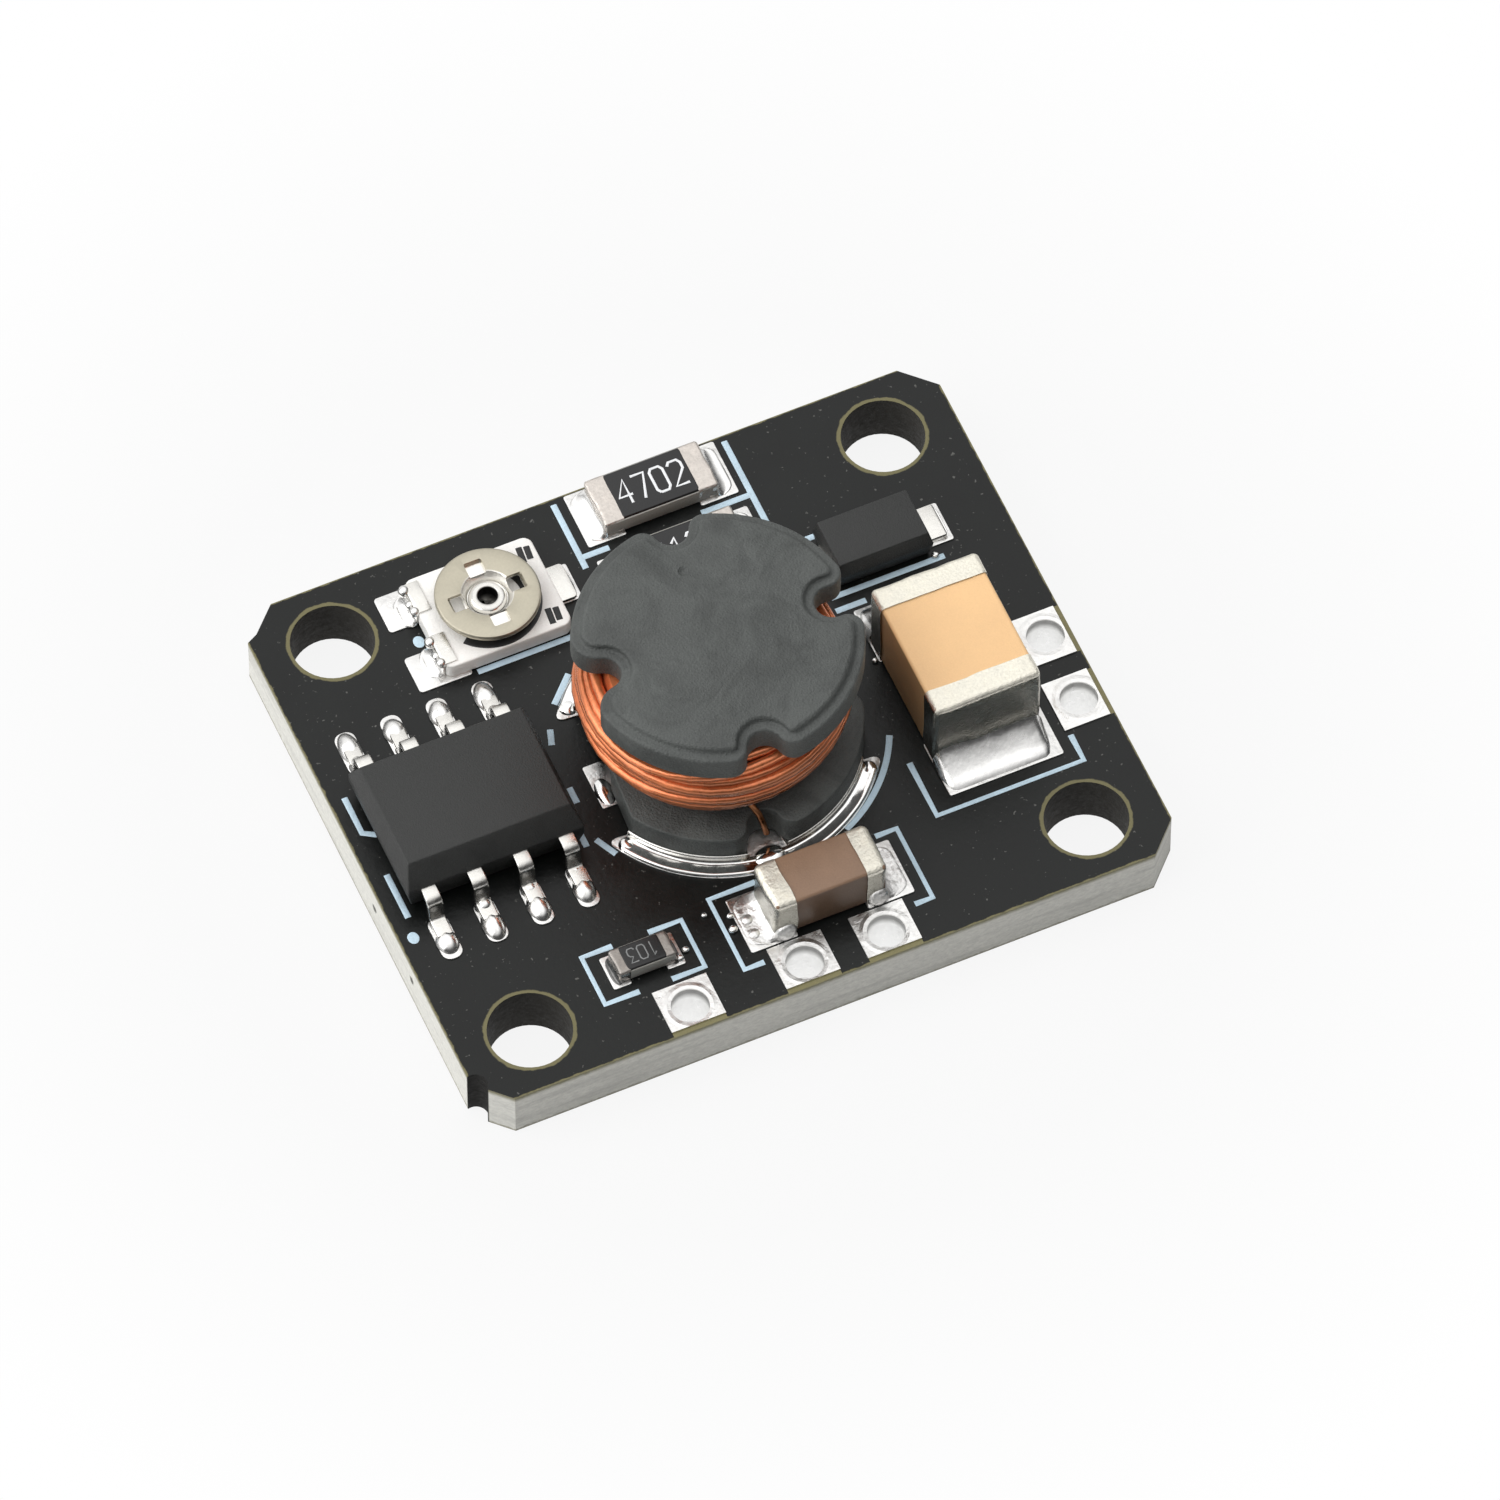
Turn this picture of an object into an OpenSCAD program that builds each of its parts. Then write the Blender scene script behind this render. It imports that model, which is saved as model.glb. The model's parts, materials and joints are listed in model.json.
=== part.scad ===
// Boost converter module: a bare board with a drum inductor, a chip, a trimmer and small flat parts.
// Millimetres. The origin is the centre of the board's underside, X runs along its long edge, Z is up.

/* [Board] */
// Length of the board, along X
board_l = 19.5; // [19:0.1:24]
// Width of the board, along Y
board_w = 16.1; // [15.8:0.1:20]
// Thickness of the laminate
board_t = 1.6; // [0.8:0.1:2.4]
// Length of a corner chamfer along each edge
corner_chamfer = 0.85; // [0.3:0.05:1.2]
// Diameter of a mounting hole
hole_d = 2.2; // [1.6:0.1:2.6]
// Distance of the mounting holes from the left and right edges
hole_inset_x = 2; // [1.7:0.05:2.2]
// Distance of the mounting holes from the front and back edges
hole_inset_y = 1.7; // [1.5:0.05:1.9]
// Diameter of the snapped-off breaking hole at the front left corner
break_d = 0.65; // [0.3:0.05:0.9]
// Size of the stub left by a breaking tab at the back left corner
stub = 0.3; // [0.1:0.05:0.4]

/* [Wire pads] */
// Places of the front wire holes, along X
front_pad_x = [-3.75, -0.57, 1.7]; // [-6:0.05:6]
// Places of the side wire holes, along Y
side_pad_y = [-0.93, -3]; // [-5:0.05:5]
// Width of a wire pad along the board's edge
pad_w = 1.5; // [1.25:0.05:1.9]
// Depth of a wire pad, from the edge inwards
pad_depth = 1.28; // [1.16:0.02:1.4]
// Bare laminate left between a wire pad and the board's edge
pad_margin = 0.14; // [0.05:0.01:0.25]
// Rim of a wire pad between its hole and its outer edge
pad_rim = 0.05; // [0.03:0.01:0.15]
// Diameter of a wire hole
wire_hole_d = 1; // [0.6:0.05:1.1]
// Height of a tinned land above the laminate
land_t = 0.05; // [0.03:0.01:0.1]

/* [Layout] */
// Share of the spare board length that lies left of the chip
chip_share = 0.23; // [0.15:0.001:0.25]
// Share of the spare board length between the chip and the inductor
coil_share = 0.262; // [0.2:0.001:0.4]
// Share of the spare board length between the inductor and the large capacitor
large_cap_share = 0.351; // [0.25:0.001:0.38]
// Place of the chip along Y
chip_y = 0.02; // [-0.3:0.01:0.3]
// Place of the inductor along Y
coil_y = -0.35; // [-0.5:0.01:-0.1]
// Place of the large capacitor along Y
large_cap_y = -1.3; // [-2:0.005:-1]
// Gap between the back left mounting hole and the trimmer's lands
trimmer_gap = 0.345; // [0.2:0.005:0.6]
// Place of the trimmer along Y
trimmer_y = 5.53; // [5.5:0.01:6]
// Gap between the lands of the trimmer and of the rear resistor
rear_res_gap = 0.745; // [0.4:0.005:1.4]
// Place of the rear resistor along Y
rear_res_y = 7.12; // [6.9:0.01:7.15]
// Distance from the rear resistor to the inner one
inner_res_pitch = 2.16; // [1.9:0.02:2.2]
// Distance of the front resistor from the first wire hole, along X
front_res_shift = -0.58; // [-1:0.01:-0.4]
// Distance of the front resistor from the front edge
front_res_inset = 2.39; // [2.2:0.01:2.6]
// Distance of the diode from the large capacitor, along X
diode_shift = -0.24; // [-0.4:0.01:0.1]
// Place of the diode along Y
diode_y = 3.32; // [3.1:0.01:3.6]

/* [Chip] */
// Length of the moulded body
chip_l = 4.9; // [4.6:0.1:5.2]
// Width of the moulded body
chip_w = 3.9; // [3.6:0.1:4.2]
// Thickness of the moulded body
chip_h = 1.4; // [1.2:0.05:1.7]
// Gap under the moulded body
chip_standoff = 0.1; // [0.05:0.01:0.25]
// Leads on each side
leads_per_side = 4; // [2:1:4]
// Distance between leads
lead_pitch = 1.27; // [1.1:0.01:1.35]
// Width of a lead
lead_w = 0.42; // [0.3:0.01:0.55]
// Thickness of a lead
lead_t = 0.2; // [0.12:0.01:0.25]
// Distance across the tips of the leads
lead_span = 6.1; // [5.8:0.1:6.4]
// Mean radius of a lead's bends
lead_bend = 0.2; // [0.16:0.01:0.24]
// Slope of a lead between its bends, in degrees
lead_slope = 80; // [70:1:85]

/* [Trimmer] */
// Length of the base
trimmer_l = 3.55; // [3.3:0.05:3.9]
// Width of the base
trimmer_w = 2.9; // [2.85:0.05:3.2]
// Thickness of the base
trimmer_base_t = 0.5; // [0.4:0.05:0.7]
// Diameter of the rotor
rotor_d = 2.76; // [2.5:0.02:2.84]
// Height of the rotor's top above the base
rotor_rise = 0.46; // [0.4:0.02:0.6]
// Thickness of the rotor's sheet
rotor_t = 0.12; // [0.08:0.01:0.16]
// Reach of the rotor's cross slot from tip to tip
slot_reach = 2.06; // [1.8:0.02:2.2]
// Width of the rotor's cross slot
slot_w = 0.48; // [0.3:0.02:0.55]
// Diameter of the eyelet's tube
eyelet_d = 0.8; // [0.7:0.02:0.86]
// Diameter of the eyelet's hole
eyelet_hole_d = 0.56; // [0.4:0.02:0.6]
// Width of the wiper terminal
wiper_terminal_w = 1.1; // [1:0.05:1.3]
// Running clearance round the eyelet
running_gap = 0.03; // [0.02:0.01:0.05]

/* [Inductor] */
// Turn of the inductor on the board, in degrees
coil_turn = -3.5; // [-10:0.5:10]
// Diameter of the core's flanges
flange_d = 7.5; // [7:0.1:7.6]
// Height of the core
coil_h = 5; // [4:0.1:5.6]
// Thickness of each flange
flange_t = 1; // [0.8:0.05:1.2]
// Diameter of the post inside the winding
post_d = 3.2; // [2.6:0.1:3.8]
// Outer diameter of the winding
winding_d = 6.8; // [6.4:0.05:7]
// Turns of wire in the winding's outer layer
turns = 10; // [6:1:14]
// Diameter of the wire
wire_d = 0.3; // [0.2:0.02:0.34]
// Radius of a notch in a flange
notch_r = 0.46; // [0.4:0.01:0.52]
// Distance of the side notches' centres from the axis
side_notch_at = 3.1; // [3:0.02:3.4]
// Distance of the front and back notches' centres from the axis
end_notch_at = 3.46; // [3.4:0.02:3.54]
// Rounding at the mouth of a notch
notch_round = 0.42; // [0.36:0.01:0.46]
// Rounding at the mouth of the left notch, which is the widest
wide_notch_round = 0.68; // [0.4:0.01:0.8]
// Width of the ledge round the raised top face
ledge_w = 0.25; // [0.1:0.01:0.26]
// Height of the raised top face above the ledge
plateau_h = 0.18; // [0.1:0.01:0.3]
// Thickness of an electrode's silver
electrode_t = 0.06; // [0.03:0.01:0.1]
// Height of an electrode up the lower flange
electrode_h = 0.45; // [0.3:0.05:0.7]
// Reach of the round inductor lands past the flange
coil_land_reach = 0.45; // [0.35:0.05:0.5]
// Half the gap between the two inductor lands
coil_land_gap = 1.9; // [1.4:0.05:2]
// Width of the spare land at the inductor's left side
side_land_w = 0.92; // [0.6:0.02:1.1]
// Length of the spare land at the inductor's left side
side_land_l = 1.35; // [0.9:0.05:1.5]

/* [Large capacitor] */
// Length of the large capacitor
large_cap_l = 4.1; // [3.9:0.05:4.6]
// Width of the large capacitor
large_cap_w = 3; // [2.9:0.05:3.3]
// Height of the large capacitor
large_cap_h = 2.5; // [1.6:0.05:2.8]
// Length of the large capacitor's end bands
large_cap_band = 0.7; // [0.5:0.05:0.9]
// Reach of the large capacitor's lands beyond its ends
large_cap_land = 1; // [0.5:0.02:1.1]

/* [Small capacitor] */
// Place of the small capacitor along X
small_cap_x = 0.58; // [-2:0.01:3]
// Gap between the small capacitor's lands and the front wire pads
small_cap_gap = 0.05; // [0.03:0.01:0.2]
// Length of the small capacitor
small_cap_l = 3.15; // [3:0.05:3.4]
// Width of the small capacitor
small_cap_w = 1.5; // [1.4:0.05:1.7]
// Height of the small capacitor
small_cap_h = 1.5; // [1.1:0.05:1.7]
// Length of the small capacitor's end bands
small_cap_band = 0.6; // [0.4:0.05:0.75]
// Reach of the small capacitor's lands beyond its ends
small_cap_land = 0.7; // [0.4:0.02:0.9]

/* [Resistors] */
// Length of the two larger resistors
large_res_l = 3.2; // [3:0.05:3.4]
// Width of the two larger resistors
large_res_w = 1.5; // [1.4:0.05:1.6]
// Height of the two larger resistors
large_res_h = 0.56; // [0.45:0.01:0.7]
// Length of the larger resistors' end bands
large_res_band = 0.55; // [0.35:0.05:0.65]
// Reach of the larger resistors' lands beyond their ends
large_res_land = 0.52; // [0.3:0.02:0.7]
// Length of the front resistor
small_res_l = 1.6; // [1.5:0.05:1.75]
// Width of the front resistor
small_res_w = 0.8; // [0.7:0.05:0.9]
// Height of the front resistor
small_res_h = 0.45; // [0.35:0.01:0.55]
// Length of the front resistor's end bands
small_res_band = 0.3; // [0.2:0.02:0.4]
// Reach of the front resistor's lands beyond its ends
small_res_land = 0.2; // [0.14:0.02:0.6]
// Thickness of a resistor's coat
coat_t = 0.05; // [0.03:0.01:0.08]

/* [Diode] */
// Length of the diode's body
diode_l = 2.7; // [2.5:0.05:2.9]
// Width of the diode's body
diode_w = 1.65; // [1.5:0.05:1.8]
// Height of the diode's body
diode_h = 0.95; // [0.8:0.05:1.1]
// Distance across the tips of the diode's leads
diode_span = 3.8; // [3.5:0.05:4]
// Width of the diode's leads
diode_lead_w = 1; // [0.8:0.05:1.2]
// Thickness of the diode's leads
diode_lead_t = 0.18; // [0.12:0.01:0.22]

/* [Ends and solder] */
// Thickness of the metal on the capacitors' and resistors' ends
end_t = 0.04; // [0.03:0.01:0.06]
// Rounding of a capacitor's edges
cap_round = 0.14; // [0.08:0.01:0.18]
// Margin of a land at each side of a flat part
land_side = 0.1; // [0.05:0.01:0.14]
// Share of a part's height that its solder climbs
solder_climb = 0.42; // [0.25:0.01:0.6]
// Solder-free rim at the edge of a land
land_rim = 0.08; // [0.05:0.01:0.15]

/* [Hidden] */
$fn = 48;
// Overshoot of a cutting shape past the face it cuts
over = 0.5;
// Top of the lands, on which every part is seated
seat = board_t + land_t;

// Places of the parts, each taken from its neighbours, the board's edges or its holes
hole_x = board_l / 2 - hole_inset_x;
hole_y = board_w / 2 - hole_inset_y;
large_cap_land_w = large_cap_w + 2 * land_side;
spare_l = board_l - chip_l - flange_d - large_cap_land_w - pad_depth - pad_margin;
chip_at = [-board_l / 2 + chip_share * spare_l + chip_l / 2, chip_y];
coil_at = [chip_at.x + chip_l / 2 + coil_share * spare_l + flange_d / 2, coil_y];
large_cap_at = [coil_at.x + flange_d / 2 + large_cap_share * spare_l + large_cap_land_w / 2, large_cap_y];
small_cap_at = [small_cap_x,
    -board_w / 2 + pad_margin + pad_depth + small_cap_gap + land_side + small_cap_w / 2];
trimmer_land_reach = 0.78;
trimmer_at = [-hole_x + hole_d / 2 + trimmer_gap + trimmer_land_reach + trimmer_l / 2, trimmer_y];
wiper_reach = 0.52;
wiper_land = 0.12;
rear_res_at = [trimmer_at.x + trimmer_l / 2 + wiper_reach + wiper_land + rear_res_gap
    + large_res_land + large_res_l / 2, rear_res_y];
inner_res_at = rear_res_at - [0, inner_res_pitch];
front_res_at = [front_pad_x[0] + front_res_shift, -board_w / 2 + front_res_inset];
diode_at = [large_cap_at.x + diode_shift, diode_y];

// Shared shapes

module rounded_rect(l, w, r) {
    square([l - 2 * r, w], center = true);
    square([l, w - 2 * r], center = true);
    for (x = [-1, 1], y = [-1, 1])
        translate([x * (l / 2 - r), y * (w / 2 - r)])
            circle(r);
}

// A block on the plane with all its edges rounded
module soft_block(l, w, h, r) {
    intersection() {
        linear_extrude(h)
            rounded_rect(l, w, r);
        translate([0, w, h / 2])
            rotate([90, 0, 0])
                linear_extrude(2 * w)
                    rounded_rect(l, h, r);
        translate([-l, 0, h / 2])
            rotate([90, 0, 90])
                linear_extrude(2 * l)
                    rounded_rect(w, h, r);
    }
}

module block(l, w, h) {
    translate([-l / 2, -w / 2, 0])
        cube([l, w, h]);
}

// The part of its children that lies more than gap to either side of X = 0
module two_ends(gap, far, h) {
    difference() {
        children();
        translate([0, 0, -over])
            block(2 * gap, 2 * far, h + 2 * over);
    }
}

// Concave section of a solder joint that climbs the plane X = 0
function meniscus(reach, rise, steps = 8) = concat(
    [[0, 0]],
    [for (i = [0:steps]) let (a = 90 * i / steps) [reach * (1 - sin(a)), rise * (1 - cos(a))]]
);

module end_solder(l, w, reach, rise) {
    for (side = [0, 180])
        rotate(side)
            translate([l / 2, w / 2, 0])
                rotate([90, 0, 0])
                    linear_extrude(w)
                        polygon(meniscus(reach, rise));
}

// Two lands under the ends of a flat part
module end_lands(l, w, band, reach) {
    for (side = [-1, 1])
        translate([side * (l / 2 + (reach - band) / 2), 0, board_t])
            block(reach + band, w + 2 * land_side, land_t);
}

module place(at, turn = 0) {
    translate([at.x, at.y, seat])
        rotate(turn)
            children();
}

// Board

pad_hole_inset = pad_margin + pad_rim + wire_hole_d / 2;

module board_outline() {
    l = board_l / 2;
    w = board_w / 2;
    c = corner_chamfer;
    difference() {
        polygon([
            [-l, -w + c], [-l + c, -w], [l - c, -w], [l, -w + c],
            [l, w - c], [l - c, w], [-l + c + stub / 2, w], [-l + stub, w - c + stub / 2], [-l, w - c]
        ]);
        translate([-l + c * 0.1, -w + c * 0.9])
            circle(d = break_d);
    }
}

// Frames of the wire holes: at the hole, with Y pointing from the board's edge inwards
module at_front_pads() {
    for (x = front_pad_x)
        translate([x, -board_w / 2 + pad_hole_inset, 0])
            children();
}

module at_side_pads() {
    for (y = side_pad_y)
        translate([board_l / 2 - pad_hole_inset, y, 0])
            rotate(90)
                children();
}

module pad_outline() {
    translate([-pad_w / 2, pad_margin - pad_hole_inset])
        square([pad_w, pad_depth]);
}

module wire_hole() {
    translate([0, 0, -over])
        cylinder(d = wire_hole_d, h = seat + 2 * over);
}

module pad_land() {
    linear_extrude(land_t)
        pad_outline();
}

// A wire pad is a tinned land on both faces: the lower one lies flush with the underside
module wire_pad() {
    difference() {
        union() {
            pad_land();
            translate([0, 0, board_t])
                pad_land();
        }
        wire_hole();
    }
}

// What a wire pad takes out of the laminate
module wire_pad_cut() {
    pad_land();
    wire_hole();
}

module circuit_board() {
    color([0.07, 0.08, 0.07])
        difference() {
            linear_extrude(board_t)
                board_outline();
            for (x = [-1, 1], y = [-1, 1])
                translate([x * hole_x, y * hole_y, -over])
                    cylinder(d = hole_d, h = board_t + 2 * over);
            at_front_pads()
                wire_pad_cut();
            at_side_pads()
                wire_pad_cut();
        }
}

module front_wire_pads() {
    color([0.86, 0.85, 0.82])
        at_front_pads()
            wire_pad();
}

module side_wire_pads() {
    color([0.86, 0.85, 0.82])
        at_side_pads()
            wire_pad();
}

// Chip

chip_lead_reach = (lead_span - chip_w) / 2;
chip_parting = chip_standoff + chip_h / 2;
chip_band = lead_t + 0.08;
chip_draft = 0.12;
chip_front_bevel = 0.48;
chip_rear_bevel = 0.28;
chip_end_bevel = 0.2;
chip_land_w = lead_w + 0.14;
chip_toe = 0.62;
chip_heel = 0.7;

// Places of the leads, in the frame of the chip, with Y pointing away from the body
module at_chip_leads() {
    for (side = [0, 180], i = [0:leads_per_side - 1])
        rotate(side)
            translate([(i - (leads_per_side - 1) / 2) * lead_pitch, chip_w / 2, 0])
                children();
}

// Outline of a body across one of its axes: a flat band at the parting line and sloped faces
function moulded_section(half, bevel_low, bevel_high, h, parting, band, draft) = [
    [-half + draft, 0], [half - draft, 0],
    [half, parting - band / 2], [half, parting + band / 2],
    [half - bevel_high, h], [-half + bevel_low, h],
    [-half, parting + band / 2], [-half, parting - band / 2]
];

module moulded_body(l, w, h, parting, band, draft, front, rear, ends) {
    intersection() {
        translate([-l, 0, 0])
            rotate([90, 0, 90])
                linear_extrude(2 * l)
                    polygon(moulded_section(w / 2, front, rear, h, parting, band, draft));
        translate([0, w, 0])
            rotate([90, 0, 0])
                linear_extrude(2 * w)
                    polygon(moulded_section(l / 2, ends, ends, h, parting, band, draft));
    }
}

module chip_body() {
    color([0.12, 0.12, 0.12])
        place(chip_at)
            translate([0, 0, chip_standoff])
                moulded_body(chip_l, chip_w, chip_h, chip_h / 2, chip_band, chip_draft,
                    chip_front_bevel, chip_rear_bevel, chip_end_bevel);
}

// One face of the gull-wing strip: a shoulder, two bends with a slope between them, and a foot
function gull_face(side, steps = 6) =
    let (drop = chip_parting - lead_t / 2,
         slant = (drop - 2 * lead_bend * (1 - cos(lead_slope))) / sin(lead_slope),
         run = 2 * lead_bend * sin(lead_slope) + slant * cos(lead_slope),
         shoulder = 0.2,
         off = side * lead_t / 2)
    concat(
        [[0, chip_parting + off]],
        [for (i = [0:steps]) let (a = lead_slope * i / steps)
            [shoulder + (lead_bend + off) * sin(a),
             chip_parting - lead_bend + (lead_bend + off) * cos(a)]],
        [for (i = [steps:-1:0]) let (a = lead_slope * i / steps)
            [shoulder + run - (lead_bend - off) * sin(a),
             lead_t / 2 + lead_bend - (lead_bend - off) * cos(a)]],
        [[chip_lead_reach, lead_t / 2 + off]]
    );

function backwards(list) = [for (i = [len(list) - 1:-1:0]) list[i]];

module gull_lead() {
    translate([-lead_w / 2, 0, 0])
        rotate([90, 0, 90])
            linear_extrude(lead_w)
                polygon(concat(gull_face(1), backwards(gull_face(-1))));
}

module chip_leads() {
    color([0.8, 0.8, 0.8])
        place(chip_at)
            at_chip_leads()
                gull_lead();
}

// Solder round a foot: a loaf with a domed end beyond the toe
module foot_solder() {
    half = chip_land_w / 2 - land_rim / 2;
    rise = lead_t * 0.9;
    r = (half * half + rise * rise) / (2 * rise);
    toe = chip_lead_reach + chip_toe - land_rim - half;
    heel = chip_lead_reach - chip_heel + land_rim;
    difference() {
        intersection() {
            union() {
                translate([0, heel, rise - r])
                    rotate([-90, 0, 0])
                        cylinder(r = r, h = toe - heel);
                difference() {
                    translate([0, toe, rise - r])
                        sphere(r);
                    translate([0, toe - 2 * r, -2 * r])
                        block(4 * r, 4 * r, 4 * r);
                }
            }
            translate([0, heel, 0])
                block(2 * chip_land_w, 4 * chip_lead_reach, rise + over);
        }
        gull_lead();
    }
}

module chip_solder() {
    color([0.88, 0.88, 0.87])
        place(chip_at)
            at_chip_leads()
                foot_solder();
}

// Trimmer

trimmer_strap_t = 0.14;
trimmer_land_w = 1.12;
trimmer_land_under = 0.7;
trimmer_land_y = trimmer_w / 2 - trimmer_land_w / 2 + 0.1;
trimmer_base_round = 0.25;
trimmer_base_top = trimmer_base_t;
end_terminal_w = 0.95;
end_terminal_y = trimmer_w / 2 - end_terminal_w / 2 - trimmer_base_round / 2;
end_terminal_band = 0.34;
track_t = 0.03;
track_in = 0.92;
track_out = 1.36;
track_open = 80;
hub_low = trimmer_base_top + 0.05;
hub_r = eyelet_d / 2 + running_gap;
rotor_top = trimmer_base_top + rotor_rise;
funnel_low = hub_r + 0.16;
funnel_high = hub_r + 0.3;
eyelet_flange_r = eyelet_d / 2 + 0.1;
contact_r = 0.12;
contact_turn = 10;
contact_gap = 0.03;

module trimmer_base() {
    color([0.93, 0.92, 0.88])
        place(trimmer_at)
            difference() {
                linear_extrude(trimmer_base_t)
                    rounded_rect(trimmer_l, trimmer_w, trimmer_base_round);
                translate([0, 0, -over])
                    cylinder(d = eyelet_d, h = trimmer_base_t + 2 * over);
                wiper_strap(trimmer_l);
            }
}

// Strap in its channel under the base, from the eyelet to a given reach on the right
module wiper_strap(reach) {
    translate([0, 0, -over])
        linear_extrude(trimmer_strap_t + over) {
            circle(d = wiper_terminal_w);
            translate([0, -wiper_terminal_w / 2])
                square([reach, wiper_terminal_w]);
        }
}

module trimmer_wiper_terminal() {
    color([0.78, 0.77, 0.74])
        place(trimmer_at)
            intersection() {
                wiper_strap(trimmer_l / 2 + wiper_reach);
                block(2 * trimmer_l, trimmer_w, trimmer_strap_t);
            }
}

module trimmer_track() {
    color([0.1, 0.1, 0.1])
        place(trimmer_at)
            translate([0, 0, trimmer_base_top])
                rotate(-180 + track_open / 2)
                    rotate_extrude(angle = 360 - track_open)
                        translate([track_in, 0])
                            square([track_out - track_in, track_t]);
}

// Plated corners of the base that stand on the two left lands
module trimmer_end_terminals() {
    color([0.85, 0.84, 0.8])
        place(trimmer_at)
            for (side = [-1, 1])
                difference() {
                    translate([-trimmer_l / 2, side * end_terminal_y, 0])
                        translate([(end_terminal_band - end_t) / 2, 0, 0])
                            block(end_terminal_band + end_t, end_terminal_w, trimmer_base_t + end_t);
                    linear_extrude(trimmer_base_t)
                        square([trimmer_l, 2 * trimmer_w], center = true);
                }
}

module trimmer_eyelet() {
    color([0.8, 0.79, 0.76])
        place(trimmer_at)
            rotate_extrude()
                polygon([
                    [eyelet_hole_d / 2, trimmer_strap_t],
                    [eyelet_d / 2, trimmer_strap_t],
                    [eyelet_d / 2, hub_low + rotor_t + running_gap],
                    [eyelet_flange_r, hub_low + rotor_t + running_gap],
                    [eyelet_flange_r - 0.03, hub_low + rotor_t + running_gap + 0.06],
                    [eyelet_hole_d / 2 + 0.06, hub_low + rotor_t + running_gap + 0.13],
                    [eyelet_hole_d / 2, hub_low + rotor_t + running_gap + 0.1]
                ]);
}

// Sheet metal rotor: a flat disc, a funnel down to its hub and four slots that make a driver cross
module trimmer_rotor() {
    color([0.79, 0.77, 0.72])
        place(trimmer_at) {
            difference() {
                rotate_extrude()
                    polygon([
                        [hub_r, hub_low], [funnel_low, hub_low],
                        [funnel_high, rotor_top - rotor_t], [rotor_d / 2, rotor_top - rotor_t],
                        [rotor_d / 2, rotor_top], [funnel_high - 0.06, rotor_top],
                        [funnel_low - 0.06, hub_low + rotor_t], [hub_r, hub_low + rotor_t]
                    ]);
                for (turn = [0:90:270])
                    rotate(turn)
                        translate([slot_reach / 4 + funnel_low / 2, 0, hub_low + rotor_t])
                            block(slot_reach / 2 - funnel_low, slot_w, over + rotor_rise);
            }
            for (turn = [-contact_turn, contact_turn])
                rotate(turn)
                    translate([(track_in + track_out) / 2, 0, trimmer_base_top + track_t + contact_gap])
                        cylinder(r = contact_r, h = rotor_rise - rotor_t - track_t - contact_gap);
        }
}

module trimmer_solder() {
    color([0.88, 0.88, 0.87])
        place(trimmer_at) {
            for (side = [-1, 1])
                translate([-trimmer_l / 2 - end_t, side * end_terminal_y + end_terminal_w / 2, 0])
                    rotate([90, 0, 0])
                        linear_extrude(end_terminal_w)
                            mirror([1, 0])
                                polygon(meniscus(trimmer_land_reach * 0.45, trimmer_base_t * 0.8));
            translate([trimmer_l / 2 + wiper_reach, wiper_terminal_w / 2, 0])
                rotate([90, 0, 0])
                    linear_extrude(wiper_terminal_w)
                        polygon(meniscus(wiper_land * 0.7, trimmer_strap_t * 0.8));
        }
}

// Inductor

flange_r = flange_d / 2;
coil_land_d = flange_d + 2 * coil_land_reach;
core_low = electrode_t;
winding_low = core_low + flange_t;
winding_h = coil_h - 2 * flange_t;
turn_pitch = winding_h / turns;
side_land_out = -0.2;
side_land_shift = 0.085;
notches = [
    [0, side_notch_at, notch_round], [90, end_notch_at, notch_round],
    [180, side_notch_at, wide_notch_round], [270, end_notch_at, notch_round]
];

// Place of the rounding beside a notch: it touches the rim from inside and the notch from outside
function shoulder(n) =
    let (at = n[1],
         far = flange_r - n[2],
         reach = notch_r + n[2],
         along = (far * far + at * at - reach * reach) / (2 * at))
    [along, sqrt(far * far - along * along)];

// A disc with four rounded notches whose outline moves inwards from inset_low to inset_high
module notched_disc(h, inset_low, inset_high) {
    difference() {
        union() {
            difference() {
                cylinder(r1 = flange_r - inset_low, r2 = flange_r - inset_high, h = h);
                for (n = notches)
                    rotate(n[0])
                        notch_mouth(n, h);
            }
            for (n = notches, side = [-1, 1])
                rotate(n[0])
                    translate([shoulder(n).x, side * shoulder(n).y, 0])
                        cylinder(r1 = n[2] - inset_low, r2 = n[2] - inset_high, h = h);
        }
        for (n = notches)
            rotate(n[0])
                translate([n[1], 0, 0])
                    cylinder(r1 = notch_r + inset_low, r2 = notch_r + inset_high, h = h);
    }
}

module notch_mouth(n, h) {
    s = shoulder(n);
    out = 1.5;
    translate([0, 0, -over])
        linear_extrude(h + 2 * over)
            polygon([[n[1], 0], s, s * out, [s.x, -s.y] * out, [s.x, -s.y]]);
}

module coil_core() {
    color([0.25, 0.26, 0.26])
        place(coil_at, coil_turn)
            translate([0, 0, core_low]) {
                notched_disc(flange_t, 0, 0);
                translate([0, 0, flange_t])
                    cylinder(d = post_d, h = winding_h);
                translate([0, 0, coil_h - flange_t])
                    notched_disc(flange_t - plateau_h, 0, 0);
                translate([0, 0, coil_h - plateau_h])
                    notched_disc(plateau_h, ledge_w, ledge_w + plateau_h / 2);
            }
}

module coil_winding() {
    color([0.8, 0.48, 0.3])
        place(coil_at, coil_turn)
            translate([0, 0, winding_low])
                rotate_extrude()
                    intersection() {
                        translate([post_d / 2, 0])
                            square([(winding_d - post_d) / 2, winding_h]);
                        union() {
                            translate([post_d / 2, 0])
                                square([(winding_d - post_d - turn_pitch) / 2, winding_h]);
                            for (i = [0:turns - 1])
                                translate([(winding_d - turn_pitch) / 2, (i + 0.5) * turn_pitch])
                                    circle(d = turn_pitch * 1.04);
                        }
                    }
}

tail_at = end_notch_at - notch_r + wire_d / 2 + 0.03;

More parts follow.
